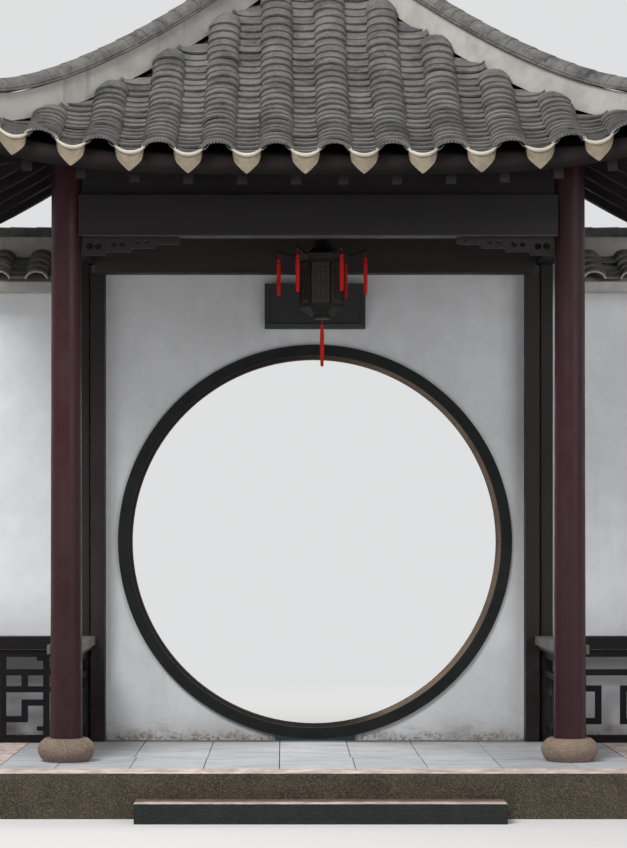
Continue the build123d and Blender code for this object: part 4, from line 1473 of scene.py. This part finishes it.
@dataclass
class Lantern:
    """Silk tassels and the fretwork of the lantern."""

    centre: Tuple[float, float] = (0.028, -0.77)
    turn: float = -4.5
    arm: float = 0.222
    glass_low: float = 2.485
    glass_high: float = 2.696
    pane_half: float = 0.0475
    fret_inner: float = 0.0975
    fret_outer: float = 0.1008
    bar: float = 0.0036

    def angles(self) -> List[float]:
        """The directions of the six sides and arms, in radians."""
        return [math.radians(60 * number + self.turn) for number in range(6)]

    def fret_bars(self) -> Tuple[Array, Array]:
        """Bars of one pane's fretwork: a border, an inner frame tied to it, and a middle knot.

        Returns:
            Lowest and highest corners of the bars, on the side of the lantern that faces front.
        """
        half, bar, span = self.pane_half, self.bar, self.glass_high - self.glass_low
        inner, foot, knot, middle = 0.027, 0.024, 0.012, span / 2
        bars = [(-half, half, 0.0, bar), (-half, half, span - bar, span),
                (-inner, inner, foot, foot + bar), (-inner, inner, span - foot - bar, span - foot)]
        for side in (-1, 1):
            bars += [(*sorted((side * near, side * far)), low, high) for near, far, low, high in (
                (half, half - bar, 0.0, span), (inner, inner - bar, foot, span - foot),
                (knot, knot - bar, middle - knot, middle + knot),
                *((inner, half, level * span, level * span + bar) for level in (0.27, 0.5, 0.71)),
                (knot, inner, middle - bar / 2, middle + bar / 2))]
        bars += [(-knot, knot, middle - knot, middle - knot + bar),
                 (-knot, knot, middle + knot - bar, middle + knot),
                 (-bar / 2, bar / 2, foot, middle - knot),
                 (-bar / 2, bar / 2, middle + knot, span - foot)]
        table = np.array(bars)
        low, high = (np.insert(table[:, [first, first + 2]], 1, -depth, axis=1)
                     for first, depth in ((0, self.fret_outer), (1, self.fret_inner)))
        return low, high

    def fit_fretwork(self) -> None:
        """Sets the fretwork on the six panes, each turned a sixth round the lantern's axis."""
        fret = Surface()
        for angle in self.angles():
            fret.add_blocks(*self.fret_bars())
            turn = np.array([[math.cos(angle), math.sin(angle), 0],
                             [-math.sin(angle), math.cos(angle), 0], [0, 0, 1]])
            fret.points[-1] = fret.points[-1] @ turn + np.array([*self.centre, self.glass_low])
        fret.build("lantern_fretwork", FRETWORK, "lantern_timber", Body.LANTERN)

    def hang_tassels(self) -> None:
        """Replaces the plain tassels, one under each arm and one in the middle."""
        points = node_points("lantern_tassels")
        tassels, (x, y) = Surface(), self.centre
        places = [(x + self.arm * math.cos(angle), y + self.arm * math.sin(angle))
                  for angle in self.angles()]
        for x, y in (*places, self.centre):
            near = points[np.hypot(points[:, 0] - x, points[:, 1] - y) < 0.02]
            self.tassel(x, y, near[:, 2].min(), near[:, 2].max(), tassels)
        tassels.build("silk_tassels", RED_THREAD, "red_thread", Body.LANTERN,
                      replaces=["lantern_tassels"])

    def tassel(self, x: float, y: float, bottom: float, top: float, tassels: Surface) -> None:
        """Adds one tassel: a cord, a bead, a bound neck and a ribbed skirt of strands.

        It is a profile turned round an upright axis: x = r cos a, y = r sin a, where each rib
        makes the radius r (1 + depth cos(ribs a)).

        Args:
            x: Where its axis stands.
            y: Where its axis stands.
            bottom: Its lower end.
            top: Its upper end.
            tassels: The surface that takes it.
        """
        span, ribs, depth = top - bottom, 16, 0.06
        radius, height = np.array([
            (0.0025, 0.0), (0.0070, 0.002), (0.0078, 0.012), (0.0086, span * 0.15),
            (0.0096, span * 0.4), (0.0100, span - 0.090), (0.0094, span - 0.066),
            (0.0078, span - 0.056), (0.0085, span - 0.052), (0.0062, span - 0.046),
            (0.0045, span - 0.044), (0.0070, span - 0.041), (0.0086, span - 0.036),
            (0.0078, span - 0.032), (0.004, span - 0.028), (0.0014, span - 0.026),
            (0.0014, span - 0.001), (0.0005, span)]).T[..., None]
        angle = np.linspace(0, 2 * np.pi, 48, endpoint=False)
        ribbed = radius * (1 + depth * np.cos(ribs * angle))
        grid = np.broadcast_arrays(x + ribbed * np.cos(angle), y + ribbed * np.sin(angle),
                                   bottom + height)
        tassels.add(np.stack(grid, axis=-1), around=True)


def dress_nodes() -> None:
    """Gives every CAD node its finish."""
    for finish, names in NODE_FINISHES.items():
        for name in names.split():
            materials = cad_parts[name].data.materials
            materials.clear()
            materials.append(finish.material())
            log.info("%s: %s", name, finish.name)


@dataclass
class Studio:
    """Pale floor, soft lamps and the camera."""

    eye: Tuple[float, float, float] = (-0.161, -12.65, 1.285)
    lens: float = 98.7
    shift: Tuple[float, float] = (0.0336, 0.1368)
    floor_half: float = 40.0
    sky: Colour = (0.86, 0.88, 0.9)
    sky_strength: float = 0.52
    aim: Tuple[float, float, float] = (0.0, 0.0, 1.5)

    def set_floor(self) -> None:
        """Lays the floor, a plain pale plane far wider than the part."""
        half = self.floor_half
        mesh = bpy.data.meshes.new("floor")
        mesh.from_pydata([(-half, -half, 0.0), (half, -half, 0.0), (half, half, 0.0),
                          (-half, half, 0.0)], [], [(0, 1, 2, 3)])
        mesh.materials.append(FLOOR.material())
        new_object("floor", mesh)

    def set_sky(self) -> None:
        """Sets a soft sky that lights the part and shows as the plain backdrop."""
        world = bpy.data.worlds.new("studio")
        world.use_nodes = True
        world.node_tree.nodes.clear()
        graph = Graph(world.node_tree)
        light = graph.add("Background", {"Color": self.sky, "Strength": self.sky_strength})
        shown = graph.add("Background", {"Color": BACKDROP, "Strength": 1.0})
        mixed = graph.add("MixShader", {0: graph.seen(), 1: light, 2: shown})
        graph.add("OutputWorld", {"Surface": mixed})
        bpy.context.scene.world = world

    def set_lamps(self) -> None:
        """Sets three broad lamps, each turned to the middle of the part."""
        for name, place, size, power in (("key", (-5.0, -9.5, 12.0), 6.0, 2100.0),
                                         ("fill", (7.0, -9.0, 5.0), 6.0, 300.0),
                                         ("rear", (3.0, 10.0, 8.0), 7.0, 650.0)):
            lamp = bpy.data.lights.new(name, "AREA")
            lamp.energy = power
            lamp.size = size
            holder = new_object(name, lamp)
            holder.location = place
            x, y, z = np.array(self.aim) - np.array(place)
            holder.rotation_euler = (math.atan2(math.hypot(x, y), -z), 0.0, math.atan2(-x, y))

    def set_camera(self) -> None:
        """Sets the camera level and square to the wall, with the photograph's framing."""
        data = bpy.data.cameras.new("camera")
        data.sensor_fit = "VERTICAL"
        data.sensor_height = 36.0
        data.lens = self.lens
        data.shift_x, data.shift_y = self.shift
        camera = new_object("camera", data)
        camera.location = self.eye
        camera.rotation_euler = (math.radians(90), 0.0, 0.0)
        bpy.context.scene.camera = camera
        bpy.context.scene.view_settings.view_transform = "Standard"


def main() -> None:
    """Builds each class in order."""
    logging.basicConfig(level=logging.INFO, format="%(message)s")
    studio = Studio()
    studio.set_camera()
    studio.set_floor()
    studio.set_sky()
    studio.set_lamps()
    dress_nodes()
    roof = TiledRoof()
    roof.tile_slopes()
    roof.crown_ridges()
    WallCopings().tile()
    RingMortar().fill_joints()
    Paving().lay()
    lantern = Lantern()
    lantern.hang_tassels()
    lantern.fit_fretwork()


if __name__ == "__main__":
    main()
